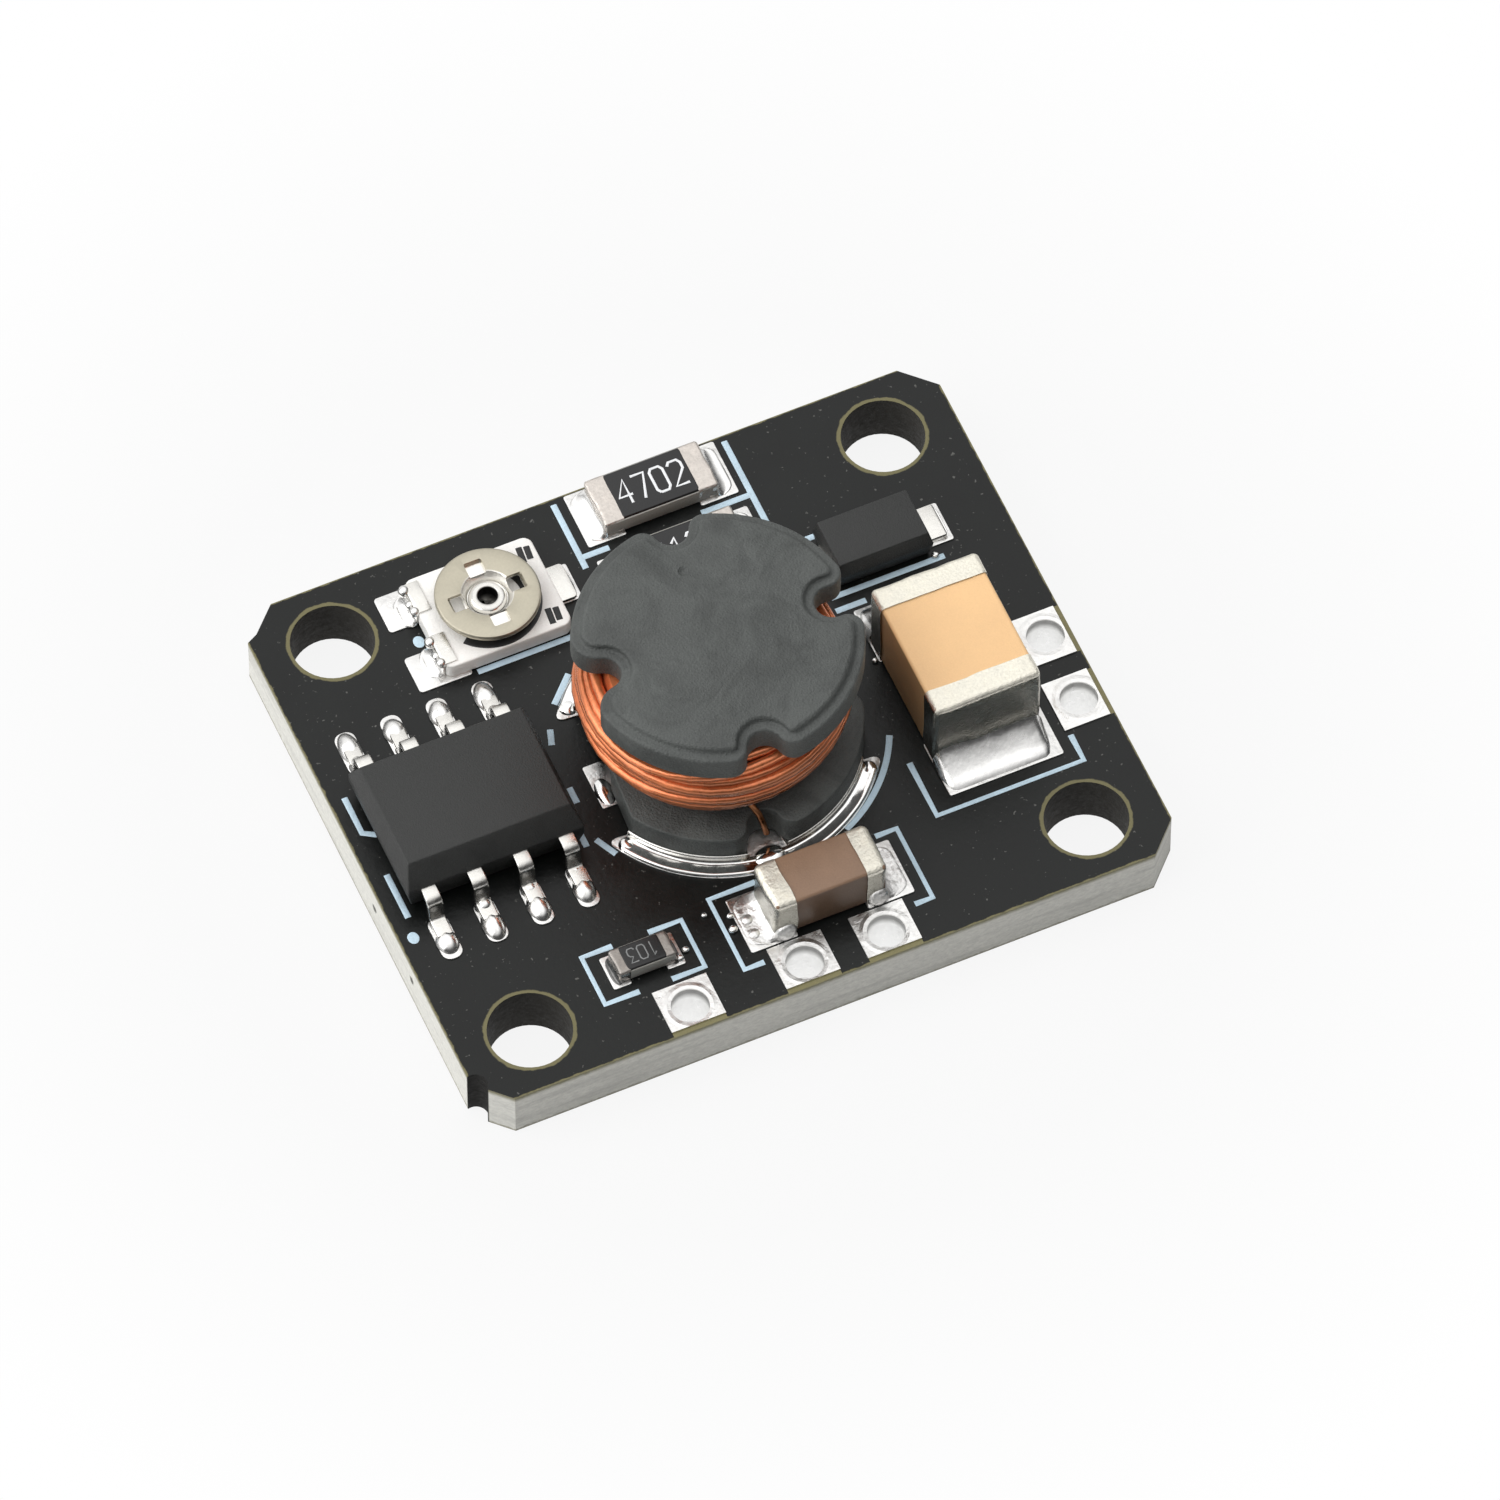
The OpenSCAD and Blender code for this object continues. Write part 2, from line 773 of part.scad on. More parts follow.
module coil_tails() {
    color([0.78, 0.45, 0.28])
        place(coil_at, coil_turn)
            for (turn = [90, 270])
                rotate(turn)
                    translate([tail_at, 0, 0])
                        cylinder(d = wire_d, h = winding_low);
}

module coil_electrodes() {
    color([0.8, 0.8, 0.79])
        place(coil_at, coil_turn)
            difference() {
                rotate(90)
                    two_ends(coil_land_gap, flange_d, electrode_h)
                        cylinder(r = flange_r + electrode_t, h = electrode_h);
                translate([0, 0, core_low])
                    cylinder(r = flange_r, h = electrode_h + over);
                for (n = notches)
                    rotate(n[0])
                        translate([n[1], 0, -over])
                            linear_extrude(electrode_h + 2 * over)
                                union() {
                                    circle(notch_r);
                                    translate([0, -notch_r])
                                        square([flange_r, 2 * notch_r]);
                                }
            }
}

module coil_solder() {
    in = flange_r + electrode_t;
    reach = coil_land_d / 2 - in - land_rim;
    half_angle = acos((coil_land_gap + land_rim) / in);
    color([0.85, 0.85, 0.84])
        place(coil_at, coil_turn)
            for (turn = [90, 270])
                difference() {
                    union() {
                        rotate(turn - half_angle)
                            rotate_extrude(angle = 2 * half_angle)
                                translate([in, 0])
                                    polygon(meniscus(reach, electrode_h * 0.8));
                        rotate(turn)
                            translate([end_notch_at, 0, 0])
                                cylinder(r = notch_r, h = electrode_h * 0.8);
                    }
                    rotate(turn)
                        translate([tail_at, 0, -over])
                            cylinder(d = wire_d, h = electrode_h + 2 * over);
                }
}

// Flat parts with metal ends, lying along X on the plane

module ceramic_block(l, w, h) {
    translate([0, 0, end_t])
        soft_block(l - 2 * end_t, w - 2 * end_t, h - 2 * end_t, cap_round - end_t);
}

module capacitor_ends(l, w, h, band) {
    two_ends(l / 2 - band, w, h)
        difference() {
            soft_block(l, w, h, cap_round);
            ceramic_block(l, w, h);
        }
}

module resistor_substrate(l, w, h) {
    translate([0, 0, end_t])
        block(l - 2 * end_t, w, h - 2 * end_t);
}

module resistor_coat(l, w, h, band) {
    translate([0, 0, h - end_t])
        block(l - 2 * band, w, coat_t);
}

module resistor_ends(l, w, h, band) {
    two_ends(l / 2 - band, w, h)
        difference() {
            block(l, w, h);
            translate([0, 0, end_t])
                block(l - 2 * end_t, 2 * w, h - 2 * end_t);
        }
}

module flat_solder(l, w, h, reach) {
    end_solder(l, w, reach - land_rim, h * solder_climb);
}

// Capacitors

module large_capacitor_body() {
    color([0.88, 0.65, 0.41])
        place(large_cap_at, 90)
            ceramic_block(large_cap_l, large_cap_w, large_cap_h);
}

module large_capacitor_ends() {
    color([0.85, 0.84, 0.8])
        place(large_cap_at, 90)
            capacitor_ends(large_cap_l, large_cap_w, large_cap_h, large_cap_band);
}

module large_capacitor_solder() {
    color([0.88, 0.88, 0.87])
        place(large_cap_at, 90)
            flat_solder(large_cap_l, large_cap_w - 2 * cap_round, large_cap_h, large_cap_land);
}

module small_capacitor_body() {
    color([0.43, 0.31, 0.24])
        place(small_cap_at)
            ceramic_block(small_cap_l, small_cap_w, small_cap_h);
}

module small_capacitor_ends() {
    color([0.85, 0.84, 0.8])
        place(small_cap_at)
            capacitor_ends(small_cap_l, small_cap_w, small_cap_h, small_cap_band);
}

module small_capacitor_solder() {
    color([0.88, 0.88, 0.87])
        place(small_cap_at)
            flat_solder(small_cap_l, small_cap_w - 2 * cap_round, small_cap_h, small_cap_land);
}

// Resistors

module substrate_at(at, l, w, h) {
    color([0.9, 0.9, 0.88])
        place(at)
            resistor_substrate(l, w, h);
}

module coat_at(at, l, w, h, band) {
    color([0.1, 0.1, 0.1])
        place(at)
            resistor_coat(l, w, h, band);
}

module ends_at(at, l, w, h, band) {
    color([0.85, 0.84, 0.8])
        place(at)
            resistor_ends(l, w, h, band);
}

module solder_at(at, l, w, h, reach) {
    color([0.88, 0.88, 0.87])
        place(at)
            flat_solder(l, w, h, reach);
}

module rear_resistor_substrate() {
    substrate_at(rear_res_at, large_res_l, large_res_w, large_res_h);
}

module rear_resistor_coat() {
    coat_at(rear_res_at, large_res_l, large_res_w, large_res_h, large_res_band);
}

module rear_resistor_ends() {
    ends_at(rear_res_at, large_res_l, large_res_w, large_res_h, large_res_band);
}

module rear_resistor_solder() {
    solder_at(rear_res_at, large_res_l, large_res_w, large_res_h, large_res_land);
}

module inner_resistor_substrate() {
    substrate_at(inner_res_at, large_res_l, large_res_w, large_res_h);
}

module inner_resistor_coat() {
    coat_at(inner_res_at, large_res_l, large_res_w, large_res_h, large_res_band);
}

module inner_resistor_ends() {
    ends_at(inner_res_at, large_res_l, large_res_w, large_res_h, large_res_band);
}

module inner_resistor_solder() {
    solder_at(inner_res_at, large_res_l, large_res_w, large_res_h, large_res_land);
}

module front_resistor_substrate() {
    substrate_at(front_res_at, small_res_l, small_res_w, small_res_h);
}

module front_resistor_coat() {
    coat_at(front_res_at, small_res_l, small_res_w, small_res_h, small_res_band);
}

module front_resistor_ends() {
    ends_at(front_res_at, small_res_l, small_res_w, small_res_h, small_res_band);
}

module front_resistor_solder() {
    solder_at(front_res_at, small_res_l, small_res_w, small_res_h, small_res_land);
}

// Diode

diode_draft = 0.08;
diode_bevel = 0.1;
diode_foot = (diode_span - diode_l) / 2 + diode_draft;
diode_land = 0.14;

module diode_body() {
    color([0.1, 0.1, 0.1])
        place(diode_at)
            difference() {
                moulded_body(diode_l, diode_w, diode_h, diode_h / 2, 0.06, diode_draft,
                    diode_bevel, diode_bevel, diode_bevel);
                diode_straps();
            }
}

module diode_straps() {
    two_ends(diode_l / 2 - 2 * diode_draft, diode_w, diode_lead_t)
        block(diode_span, diode_lead_w, diode_lead_t);
}

module diode_leads() {
    color([0.82, 0.82, 0.8])
        place(diode_at)
            diode_straps();
}

module diode_solder() {
    color([0.88, 0.88, 0.87])
        place(diode_at)
            end_solder(diode_span, diode_lead_w, diode_land - land_rim, diode_lead_t);
}

// Lands

module component_lands() {
    color([0.86, 0.85, 0.82]) {
        translate([chip_at.x, chip_at.y, 0])
            at_chip_leads()
                translate([-chip_land_w / 2, chip_lead_reach - chip_heel, board_t])
                    cube([chip_land_w, chip_heel + chip_toe, land_t]);
        translate([trimmer_at.x, trimmer_at.y, board_t])
            trimmer_lands();
        translate([coil_at.x, coil_at.y, board_t])
            coil_lands();
        translate([large_cap_at.x, large_cap_at.y, 0])
            rotate(90)
                end_lands(large_cap_l, large_cap_w, large_cap_band, large_cap_land);
        translate([small_cap_at.x, small_cap_at.y, 0])
            end_lands(small_cap_l, small_cap_w, small_cap_band, small_cap_land);
        for (at = [rear_res_at, inner_res_at])
            translate([at.x, at.y, 0])
                end_lands(large_res_l, large_res_w, large_res_band, large_res_land);
        translate([front_res_at.x, front_res_at.y, 0])
            end_lands(small_res_l, small_res_w, small_res_band, small_res_land);
        translate([diode_at.x, diode_at.y, 0])
            end_lands(diode_span, diode_lead_w, diode_foot, diode_land);
    }
}

module trimmer_lands() {
    for (side = [-1, 1])
        translate([-trimmer_l / 2 - trimmer_land_reach, side * trimmer_land_y - trimmer_land_w / 2, 0])
            cube([trimmer_land_reach + trimmer_land_under, trimmer_land_w, land_t]);
    translate([trimmer_l / 2 - 0.4, -trimmer_land_w / 2, 0])
        cube([wiper_reach + 0.4 + wiper_land, trimmer_land_w, land_t]);
}

module coil_lands() {
    rotate(coil_turn)
        rotate(90)
            two_ends(coil_land_gap, coil_land_d, land_t)
                cylinder(d = coil_land_d, h = land_t);
    translate([-flange_r - side_land_out, -side_land_l / 2 - side_land_shift, 0])
        cube([side_land_w, side_land_l, land_t]);
}

circuit_board();
front_wire_pads();
side_wire_pads();
component_lands();
chip_body();
chip_leads();
chip_solder();
trimmer_base();
trimmer_track();
trimmer_end_terminals();
trimmer_wiper_terminal();
trimmer_eyelet();
trimmer_rotor();
trimmer_solder();
coil_core();
coil_winding();
coil_tails();
coil_electrodes();
coil_solder();
large_capacitor_body();
large_capacitor_ends();
large_capacitor_solder();
small_capacitor_body();
small_capacitor_ends();
small_capacitor_solder();
rear_resistor_substrate();
rear_resistor_coat();
rear_resistor_ends();
rear_resistor_solder();
inner_resistor_substrate();
inner_resistor_coat();
inner_resistor_ends();
inner_resistor_solder();
front_resistor_substrate();
front_resistor_coat();
front_resistor_ends();
front_resistor_solder();
diode_body();
diode_leads();
diode_solder();
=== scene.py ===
"""Looks of a small boost converter module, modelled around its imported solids."""

import json
import math

import bmesh
import bpy
from bpy.props import FloatProperty, FloatVectorProperty, IntProperty, PointerProperty, StringProperty
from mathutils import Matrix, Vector


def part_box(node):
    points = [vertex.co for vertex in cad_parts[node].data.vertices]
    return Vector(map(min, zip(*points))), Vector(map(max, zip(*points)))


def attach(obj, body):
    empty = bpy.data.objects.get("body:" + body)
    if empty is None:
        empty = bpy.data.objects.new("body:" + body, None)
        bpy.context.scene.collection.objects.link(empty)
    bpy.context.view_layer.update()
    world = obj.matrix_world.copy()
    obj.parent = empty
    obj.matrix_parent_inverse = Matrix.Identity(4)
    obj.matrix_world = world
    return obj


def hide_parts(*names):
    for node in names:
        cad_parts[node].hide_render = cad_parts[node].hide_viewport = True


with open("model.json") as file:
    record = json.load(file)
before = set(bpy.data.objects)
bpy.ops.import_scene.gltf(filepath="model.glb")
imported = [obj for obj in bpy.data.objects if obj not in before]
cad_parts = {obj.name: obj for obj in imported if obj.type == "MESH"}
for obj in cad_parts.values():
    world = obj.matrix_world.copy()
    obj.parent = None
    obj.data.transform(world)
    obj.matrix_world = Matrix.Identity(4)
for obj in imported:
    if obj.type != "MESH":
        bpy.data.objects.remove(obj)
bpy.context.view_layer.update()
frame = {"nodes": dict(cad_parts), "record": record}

bl_info = {
    "name": "Boost converter module",
    "version": (1, 0, 0),
    "blender": (4, 5, 0),
    "location": "3D View > Sidebar > Module",
    "description": "Models the pieces of a small boost converter board around its packed solids",
    "category": "Object",
}

MM = 0.001
FINISHES = {}


# Sizes that come from the solids, in millimetres

def span(node):
    """Lowest and highest corner of a solid, in millimetres."""
    low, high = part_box(node)
    return low / MM, high / MM


def middle(node):
    low, high = span(node)
    return (low + high) / 2


def linear(red, green, blue):
    """A colour on the scale of 0 to 255 as the linear values that the shaders take."""
    def straight(value):
        value /= 255
        return value / 12.92 if value <= 0.04045 else ((value + 0.055) / 1.055) ** 2.4
    return tuple(straight(v) for v in (red, green, blue))


def length(name, millimetres, description):
    return FloatProperty(name=name, description=description, default=millimetres * MM, min=0.0,
                         unit="LENGTH", subtype="DISTANCE", precision=5)


def strength(name, value, description, **more):
    return FloatProperty(name=name, description=description, default=value, min=0.0, **more)


def count(name, number, description, least=1):
    return IntProperty(name=name, description=description, default=number, min=least)


def colour(name, rgb, description):
    return FloatVectorProperty(name=name, description=description, default=linear(*rgb), size=3, min=0.0,
                               max=1.0, subtype="COLOR")


def print_code(name, code, description):
    return StringProperty(name=name, description=description, default=code)


def group(kind, name, description):
    return PointerProperty(type=kind, name=name, description=description)


LAND_TOP = span("component_lands")[1].z
BOARD_TOP = span("component_lands")[0].z


# Modelling by hand: pieces are shaped in millimetres and settled in metres at the end

def fresh():
    """Leaves edit mode with nothing selected."""
    if bpy.context.mode != "OBJECT":
        bpy.ops.object.mode_set(mode="OBJECT")
    bpy.ops.object.select_all(action="DESELECT")


def only(piece):
    fresh()
    piece.select_set(True)
    bpy.context.view_layer.objects.active = piece
    return piece


class Bench:
    """Edit mode on one piece, with its points, edges or faces picked by place or normal."""

    def __init__(self, piece):
        self.piece = piece

    def __enter__(self):
        only(self.piece)
        bpy.ops.object.mode_set(mode="EDIT")
        self.nothing()
        return self

    def __exit__(self, *_):
        bpy.ops.object.mode_set(mode="OBJECT")

    def nothing(self):
        bpy.ops.mesh.select_mode(type="VERT")
        bpy.ops.mesh.select_all(action="DESELECT")

    def everything(self):
        bpy.ops.mesh.select_mode(type="VERT")
        bpy.ops.mesh.select_all(action="SELECT")

    def _pick(self, kind, found):
        self.nothing()
        bpy.ops.mesh.select_mode(type=kind)
        mesh = bmesh.from_edit_mesh(self.piece.data)
        for part in found(mesh):
            part.select_set(True)
        mesh.select_flush_mode()
        bmesh.update_edit_mesh(self.piece.data)

    def points(self, test):
        self._pick("VERT", lambda mesh: [v for v in mesh.verts if test(v.co)])

    def edges(self, test):
        def fits(edge):
            a, b = (point.co for point in edge.verts)
            return test((a + b) / 2, b - a)
        self._pick("EDGE", lambda mesh: [e for e in mesh.edges if fits(e)])

    def faces(self, test):
        def fits(face):
            return test(face.calc_center_median(), face.normal)
        self._pick("FACE", lambda mesh: [f for f in mesh.faces if fits(f)])

    def move(self, step):
        bpy.ops.transform.translate(value=step)

    def size(self, factors, centre):
        bpy.ops.transform.resize(value=factors, center_override=centre)

    def turn(self, angle, centre, axis="Z"):
        bpy.ops.transform.rotate(value=-angle, orient_axis=axis, center_override=centre)

    def slice(self, at, normal, drop_below=False):
        self.everything()
        bpy.ops.mesh.bisect(plane_co=at, plane_no=normal, clear_inner=drop_below, use_fill=drop_below)


def placed(piece):
    only(piece)
    bpy.ops.object.transform_apply(location=True, rotation=True, scale=True)
    return piece


def block(low, high):
    fresh()
    low, high = Vector(low), Vector(high)
    bpy.ops.mesh.primitive_cube_add(size=1, location=(low + high) / 2, scale=high - low)
    return placed(bpy.context.object)


def rod(at, radius, low, high, sides):
    fresh()
    bpy.ops.mesh.primitive_cylinder_add(vertices=sides, radius=radius, depth=high - low,
                                        location=(at[0], at[1], (low + high) / 2))
    return placed(bpy.context.object)


def ball(at, radii, sides=20):
    fresh()
    bpy.ops.mesh.primitive_uv_sphere_add(segments=sides, ring_count=sides // 2, radius=1, location=at,
                                         scale=radii)
    return placed(bpy.context.object)


def chain(lines):
    """Bare edges drawn point by point: each line is a run of points."""
    fresh()
    bpy.ops.mesh.primitive_plane_add(size=1, location=lines[0][0])
    piece = placed(bpy.context.object)
    with Bench(piece) as bench:
        bench.everything()
        for number, line in enumerate(lines):
            if number:
                bpy.ops.mesh.primitive_plane_add(size=1, location=line[0])
            bpy.ops.mesh.merge(type="CENTER")
            for a, b in zip(line, line[1:]):
                bpy.ops.mesh.extrude_vertices_move(TRANSFORM_OT_translate={"value": Vector(b) - Vector(a)})
    return piece


def wire(lines, radius, rings=3):
    """Round wire along each line, with closed ends."""
    only(chain(lines))
    bpy.ops.object.convert(target="CURVE")
    drawn = bpy.context.object
    drawn.data.bevel_depth = radius
    drawn.data.bevel_resolution = rings
    drawn.data.use_fill_caps = True
    bpy.ops.object.convert(target="MESH")
    return bpy.context.object


def ribbon(line, across):
    """A sheet: a line drawn sideways."""
    piece = chain([line])
    with Bench(piece) as bench:
        bench.everything()
        bpy.ops.mesh.extrude_edges_move(TRANSFORM_OT_translate={"value": across})
    return piece


def prism(outline, along):
    """A flat outline, filled and drawn out."""
    piece = chain([outline])
    with Bench(piece) as bench:
        bench.everything()
        bpy.ops.mesh.edge_face_add()
        bpy.ops.mesh.extrude_region_move(TRANSFORM_OT_translate={"value": along})
    return piece


def turned(section, centre, steps, angle=math.tau):
    """A closed section spun about an upright axis."""
    piece = chain([list(section) + [section[0]]])
    with Bench(piece) as bench:
        bench.everything()
        bpy.ops.mesh.remove_doubles(threshold=1e-4)
        bench.everything()
        bpy.ops.mesh.spin(steps=steps, angle=-angle, center=centre, axis=(0, 0, 1))
        bench.everything()
        bpy.ops.mesh.remove_doubles(threshold=1e-4)
        if angle < math.tau:
            bench.everything()
            bpy.ops.mesh.fill_holes(sides=0)
    return piece


def finished(piece, kind, **settings):
    """Adds a modifier and applies it."""
    only(piece)
    bpy.ops.object.modifier_add(type=kind)
    modifier = piece.modifiers[-1]
    for key, value in settings.items():
        setattr(modifier, key, value)
    bpy.ops.object.modifier_apply(modifier=modifier.name)
    return piece


def soften(piece, width, segments=2, angle=30):
    return finished(piece, "BEVEL", width=width, segments=segments, limit_method="ANGLE",
                    angle_limit=math.radians(angle))


def fine(piece, levels):
    return finished(piece, "SUBSURF", subdivision_type="SIMPLE", levels=levels, render_levels=levels)


def uneven(piece, amount, grain, direction="NORMAL"):
    """Pushes the surface in and out by a soft noise."""
    cloud = bpy.data.textures.new("unevenness", "CLOUDS")
    cloud.noise_scale = grain
    cloud.noise_depth = 1
    finished(piece, "DISPLACE", texture=cloud, strength=amount, mid_level=0.5, direction=direction,
             texture_coords="LOCAL")
    bpy.data.textures.remove(cloud)
    return piece


def cut(piece, tools, operation="DIFFERENCE"):
    for tool in tools:
        finished(piece, "BOOLEAN", operation=operation, object=tool, solver="EXACT")
        only(tool)
        bpy.ops.object.delete()
    return piece


def joined(pieces):
    only(pieces[0])
    for piece in pieces[1:]:
        piece.select_set(True)
    if len(pieces) > 1:
        bpy.ops.object.join()
    return bpy.context.object


def twin(piece, step=(0, 0, 0), angle=0.0, centre=(0, 0, 0)):
    """A copy with its own mesh, turned about an upright axis and moved."""
    only(piece)
    bpy.ops.object.duplicate(linked=False)
    copy = bpy.context.object
    with Bench(copy) as bench:
        bench.everything()
        if angle:
            bench.turn(angle, centre)
        if any(step):
            bench.move(step)
    return copy


def rotated(piece, angle, centre):
    """Turns a piece about an upright axis."""
    with Bench(piece) as bench:
        bench.everything()
        bench.turn(angle, centre)
    return piece


def flattened(piece, share, level):
    """Presses a piece flat towards a level."""
    with Bench(piece) as bench:
        bench.everything()
        bench.size((1, 1, share), (0, 0, level))
    return piece


def grounded(piece, level):
    """Cuts a piece off at a level and closes it there."""
    with Bench(piece) as bench:
        bench.slice((0, 0, level), (0, 0, 1), drop_below=True)
    return piece


def upright(_, direction):
    """Whether an edge stands up."""
    return abs(direction.z) > 0.01


def rounded(piece, test, radius, segments):
    """Rounds the edges that a test on their middle and direction picks."""
    with Bench(piece) as bench:
        bench.edges(test)
        bpy.ops.mesh.bevel(offset=radius, segments=segments)
    return piece


def along_axis(axis, value, height=0.0):
    """A point at a distance along X or Y, at a height."""
    point = [0, 0, height]
    point[axis] = value
    return point


def settle(piece, name, finish, nodes=(), body="module", smooth=35):
    """Ends a piece: clean normals, metres, smooth shading, its finish and the body it rides on."""
    with Bench(piece) as bench:
        bench.everything()
        bpy.ops.mesh.remove_doubles(threshold=1e-4)
        bench.everything()
        bpy.ops.mesh.normals_make_consistent(inside=False)
        bench.size((MM, MM, MM), (0, 0, 0))
    placed(piece)
    bpy.ops.object.shade_smooth_by_angle(angle=math.radians(smooth))
    piece.name = name
    piece.data.name = name
    piece.data.materials.clear()
    piece.data.materials.append(FINISHES[finish])
    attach(piece, body)
    if nodes:
        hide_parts(*nodes)
    return piece


def dress(node, finish):
    """Gives a solid that keeps its shape its finish."""
    solid = frame["nodes"][node]
    if not solid.material_slots:
        solid.data.materials.append(FINISHES[finish])
    for slot in solid.material_slots:
        slot.material = FINISHES[finish]


# Finishes

class Finish:
    """A material with one shader, and the patterns that feed it, on Object coordinates."""

    def __init__(self, name, metal=0.0, specular=0.5):
        self.material = bpy.data.materials.new(name)
        self.material.use_nodes = True
        self.tree = self.material.node_tree
        self.shader = self.tree.nodes["Principled BSDF"]
        self.place = self.node("ShaderNodeTexCoord").outputs["Object"]
        self.normal = None
        self.feed("Metallic", metal)
        self.feed("Specular IOR Level", specular)
        FINISHES[name] = self.material

    def node(self, kind, **settings):
        made = self.tree.nodes.new(kind)
        for key, value in settings.items():
            setattr(made, key, value)
        return made

    def put(self, socket, value):
        """Links an output to a socket, or sets a plain value on it."""
        if isinstance(value, bpy.types.NodeSocket):
            self.tree.links.new(value, socket)
        elif hasattr(value, "__len__"):
            socket.default_value = (*value, 1) if len(socket.default_value) == 4 else value
        else:
            socket.default_value = value

    def feed(self, name, value):
        """Links an output to one of the shader's sockets, or sets a plain value on it."""
        self.put(self.shader.inputs[name], value)

    def stretched(self, factors):
        mapping = self.node("ShaderNodeMapping")
        mapping.inputs["Scale"].default_value = factors
        self.put(mapping.inputs["Vector"], self.place)
        return mapping.outputs["Vector"]

    def noise(self, grain, detail=3.0, rough=0.55, stretch=None, twist=0.0):
        """Soft noise whose patches are about grain millimetres wide."""
        made = self.node("ShaderNodeTexNoise")
        made.inputs["Scale"].default_value = 1 / (grain * MM)
        made.inputs["Detail"].default_value = detail
        made.inputs["Roughness"].default_value = rough
        made.inputs["Distortion"].default_value = twist
        self.put(made.inputs["Vector"], self.stretched(stretch) if stretch else self.place)
        return made.outputs["Fac"]

    def cells(self, grain):
        """Distance from the middle of each grain of a pattern of cells."""
        made = self.node("ShaderNodeTexVoronoi")
        made.inputs["Scale"].default_value = 1 / (grain * MM)
        self.put(made.inputs["Vector"], self.place)
        return made.outputs["Distance"]

    def sum(self, operation, a, b=0.0, c=None):
        made = self.node("ShaderNodeMath", operation=operation)
        self.put(made.inputs[0], a)
        self.put(made.inputs[1], b)
        if c is not None:
            self.put(made.inputs[2], c)
        return made.outputs[0]

    def scaled(self, value, low, high, to_low, to_high):
        made = self.node("ShaderNodeMapRange", clamp=True)
        for socket, number in zip(made.inputs, (value, low, high, to_low, to_high)):
            self.put(socket, number)
        return made.outputs["Result"]

    def spread(self, noise, low, high):
        """A noise, most of which lies between 0.3 and 0.7, as values between two bounds."""
        return self.scaled(noise, 0.3, 0.7, low, high)

    def within(self, far, near, past, share=1.0):
        """A share that is full up to one distance and gone at another, both in millimetres."""
        return self.scaled(far, near * MM, past * MM, share, 0)

    def mixed(self, share, a, b):
        made = self.node("ShaderNodeMix", data_type="RGBA")
        self.put(made.inputs["Factor"], share)
        self.put(made.inputs[6], a)
        self.put(made.inputs[7], b)
        return made.outputs[2]

    def distance(self, a, a_at, b, b_at):
        """Distance from a point in a plane, which is given in millimetres."""
        aside = self.sum("SUBTRACT", a, a_at * MM)
        ahead = self.sum("SUBTRACT", b, b_at * MM)
        return self.sum("SQRT", self.sum("MULTIPLY_ADD", aside, aside, self.sum("MULTIPLY", ahead, ahead)))

    def parts(self, vector):
        made = self.node("ShaderNodeSeparateXYZ")
        self.put(made.inputs[0], vector)
        return made.outputs

    def axes(self):
        return self.parts(self.place)

    def facing(self):
        return self.parts(self.node("ShaderNodeNewGeometry").outputs["Normal"])

    def paint(self, value):
        self.feed("Base Color", value)

    def over(self, share, rgb):
        """Lays a colour over what is painted, by a share."""
        painted = self.shader.inputs["Base Color"].links[0].from_socket
        self.paint(self.mixed(share, painted, rgb))

    def relief(self, height, depth, strength=1.0):
        """Bump of a depth in millimetres, on top of what is there."""
        made = self.node("ShaderNodeBump")
        made.inputs["Distance"].default_value = depth * MM
        made.inputs["Strength"].default_value = strength
        self.put(made.inputs["Height"], height)
        if self.normal:
            self.put(made.inputs["Normal"], self.normal)
        self.normal = made.outputs["Normal"]
        self.feed("Normal", self.normal)


def shade(rgb, factor):
    return tuple(min(1.0, v * factor) for v in rgb)


def plain_finish(name, rgb, metal, rough, patch, grain, depth, contrast, standing=None):
    """Colour in soft patches, uneven gloss, on upright faces its own, and a fine grain."""
    made = Finish(name, metal)
    wide = made.noise(patch, 3)
    tight = made.noise(grain, 4, 0.6)
    both = made.sum("MULTIPLY_ADD", tight, 0.5, made.sum("MULTIPLY", wide, 0.5))
    light = made.scaled(both, 0.32, 0.68, 0, 1)
    made.paint(made.mixed(light, shade(rgb, 1 - contrast), shade(rgb, 1 + contrast)))
    gloss = made.spread(wide, *rough)
    if standing:
        side = made.spread(wide, *standing)
        up = made.scaled(made.facing()[2], 0.35, 0.75, 0, 1)
        gloss = made.sum("MULTIPLY_ADD", up, made.sum("SUBTRACT", gloss, side), side)
    made.feed("Roughness", gloss)
    made.relief(tight, depth)
    return made


def wire_holes():
    """Places and radii of the tinned wire holes, in millimetres."""
    bores = [mount for mount in frame["record"]["mounts"] if mount["kind"] == "bore"]
    return [(mount["pos_m"][0] / MM, mount["pos_m"][1] / MM, mount["dims"]["r_mm"]) for mount in bores]


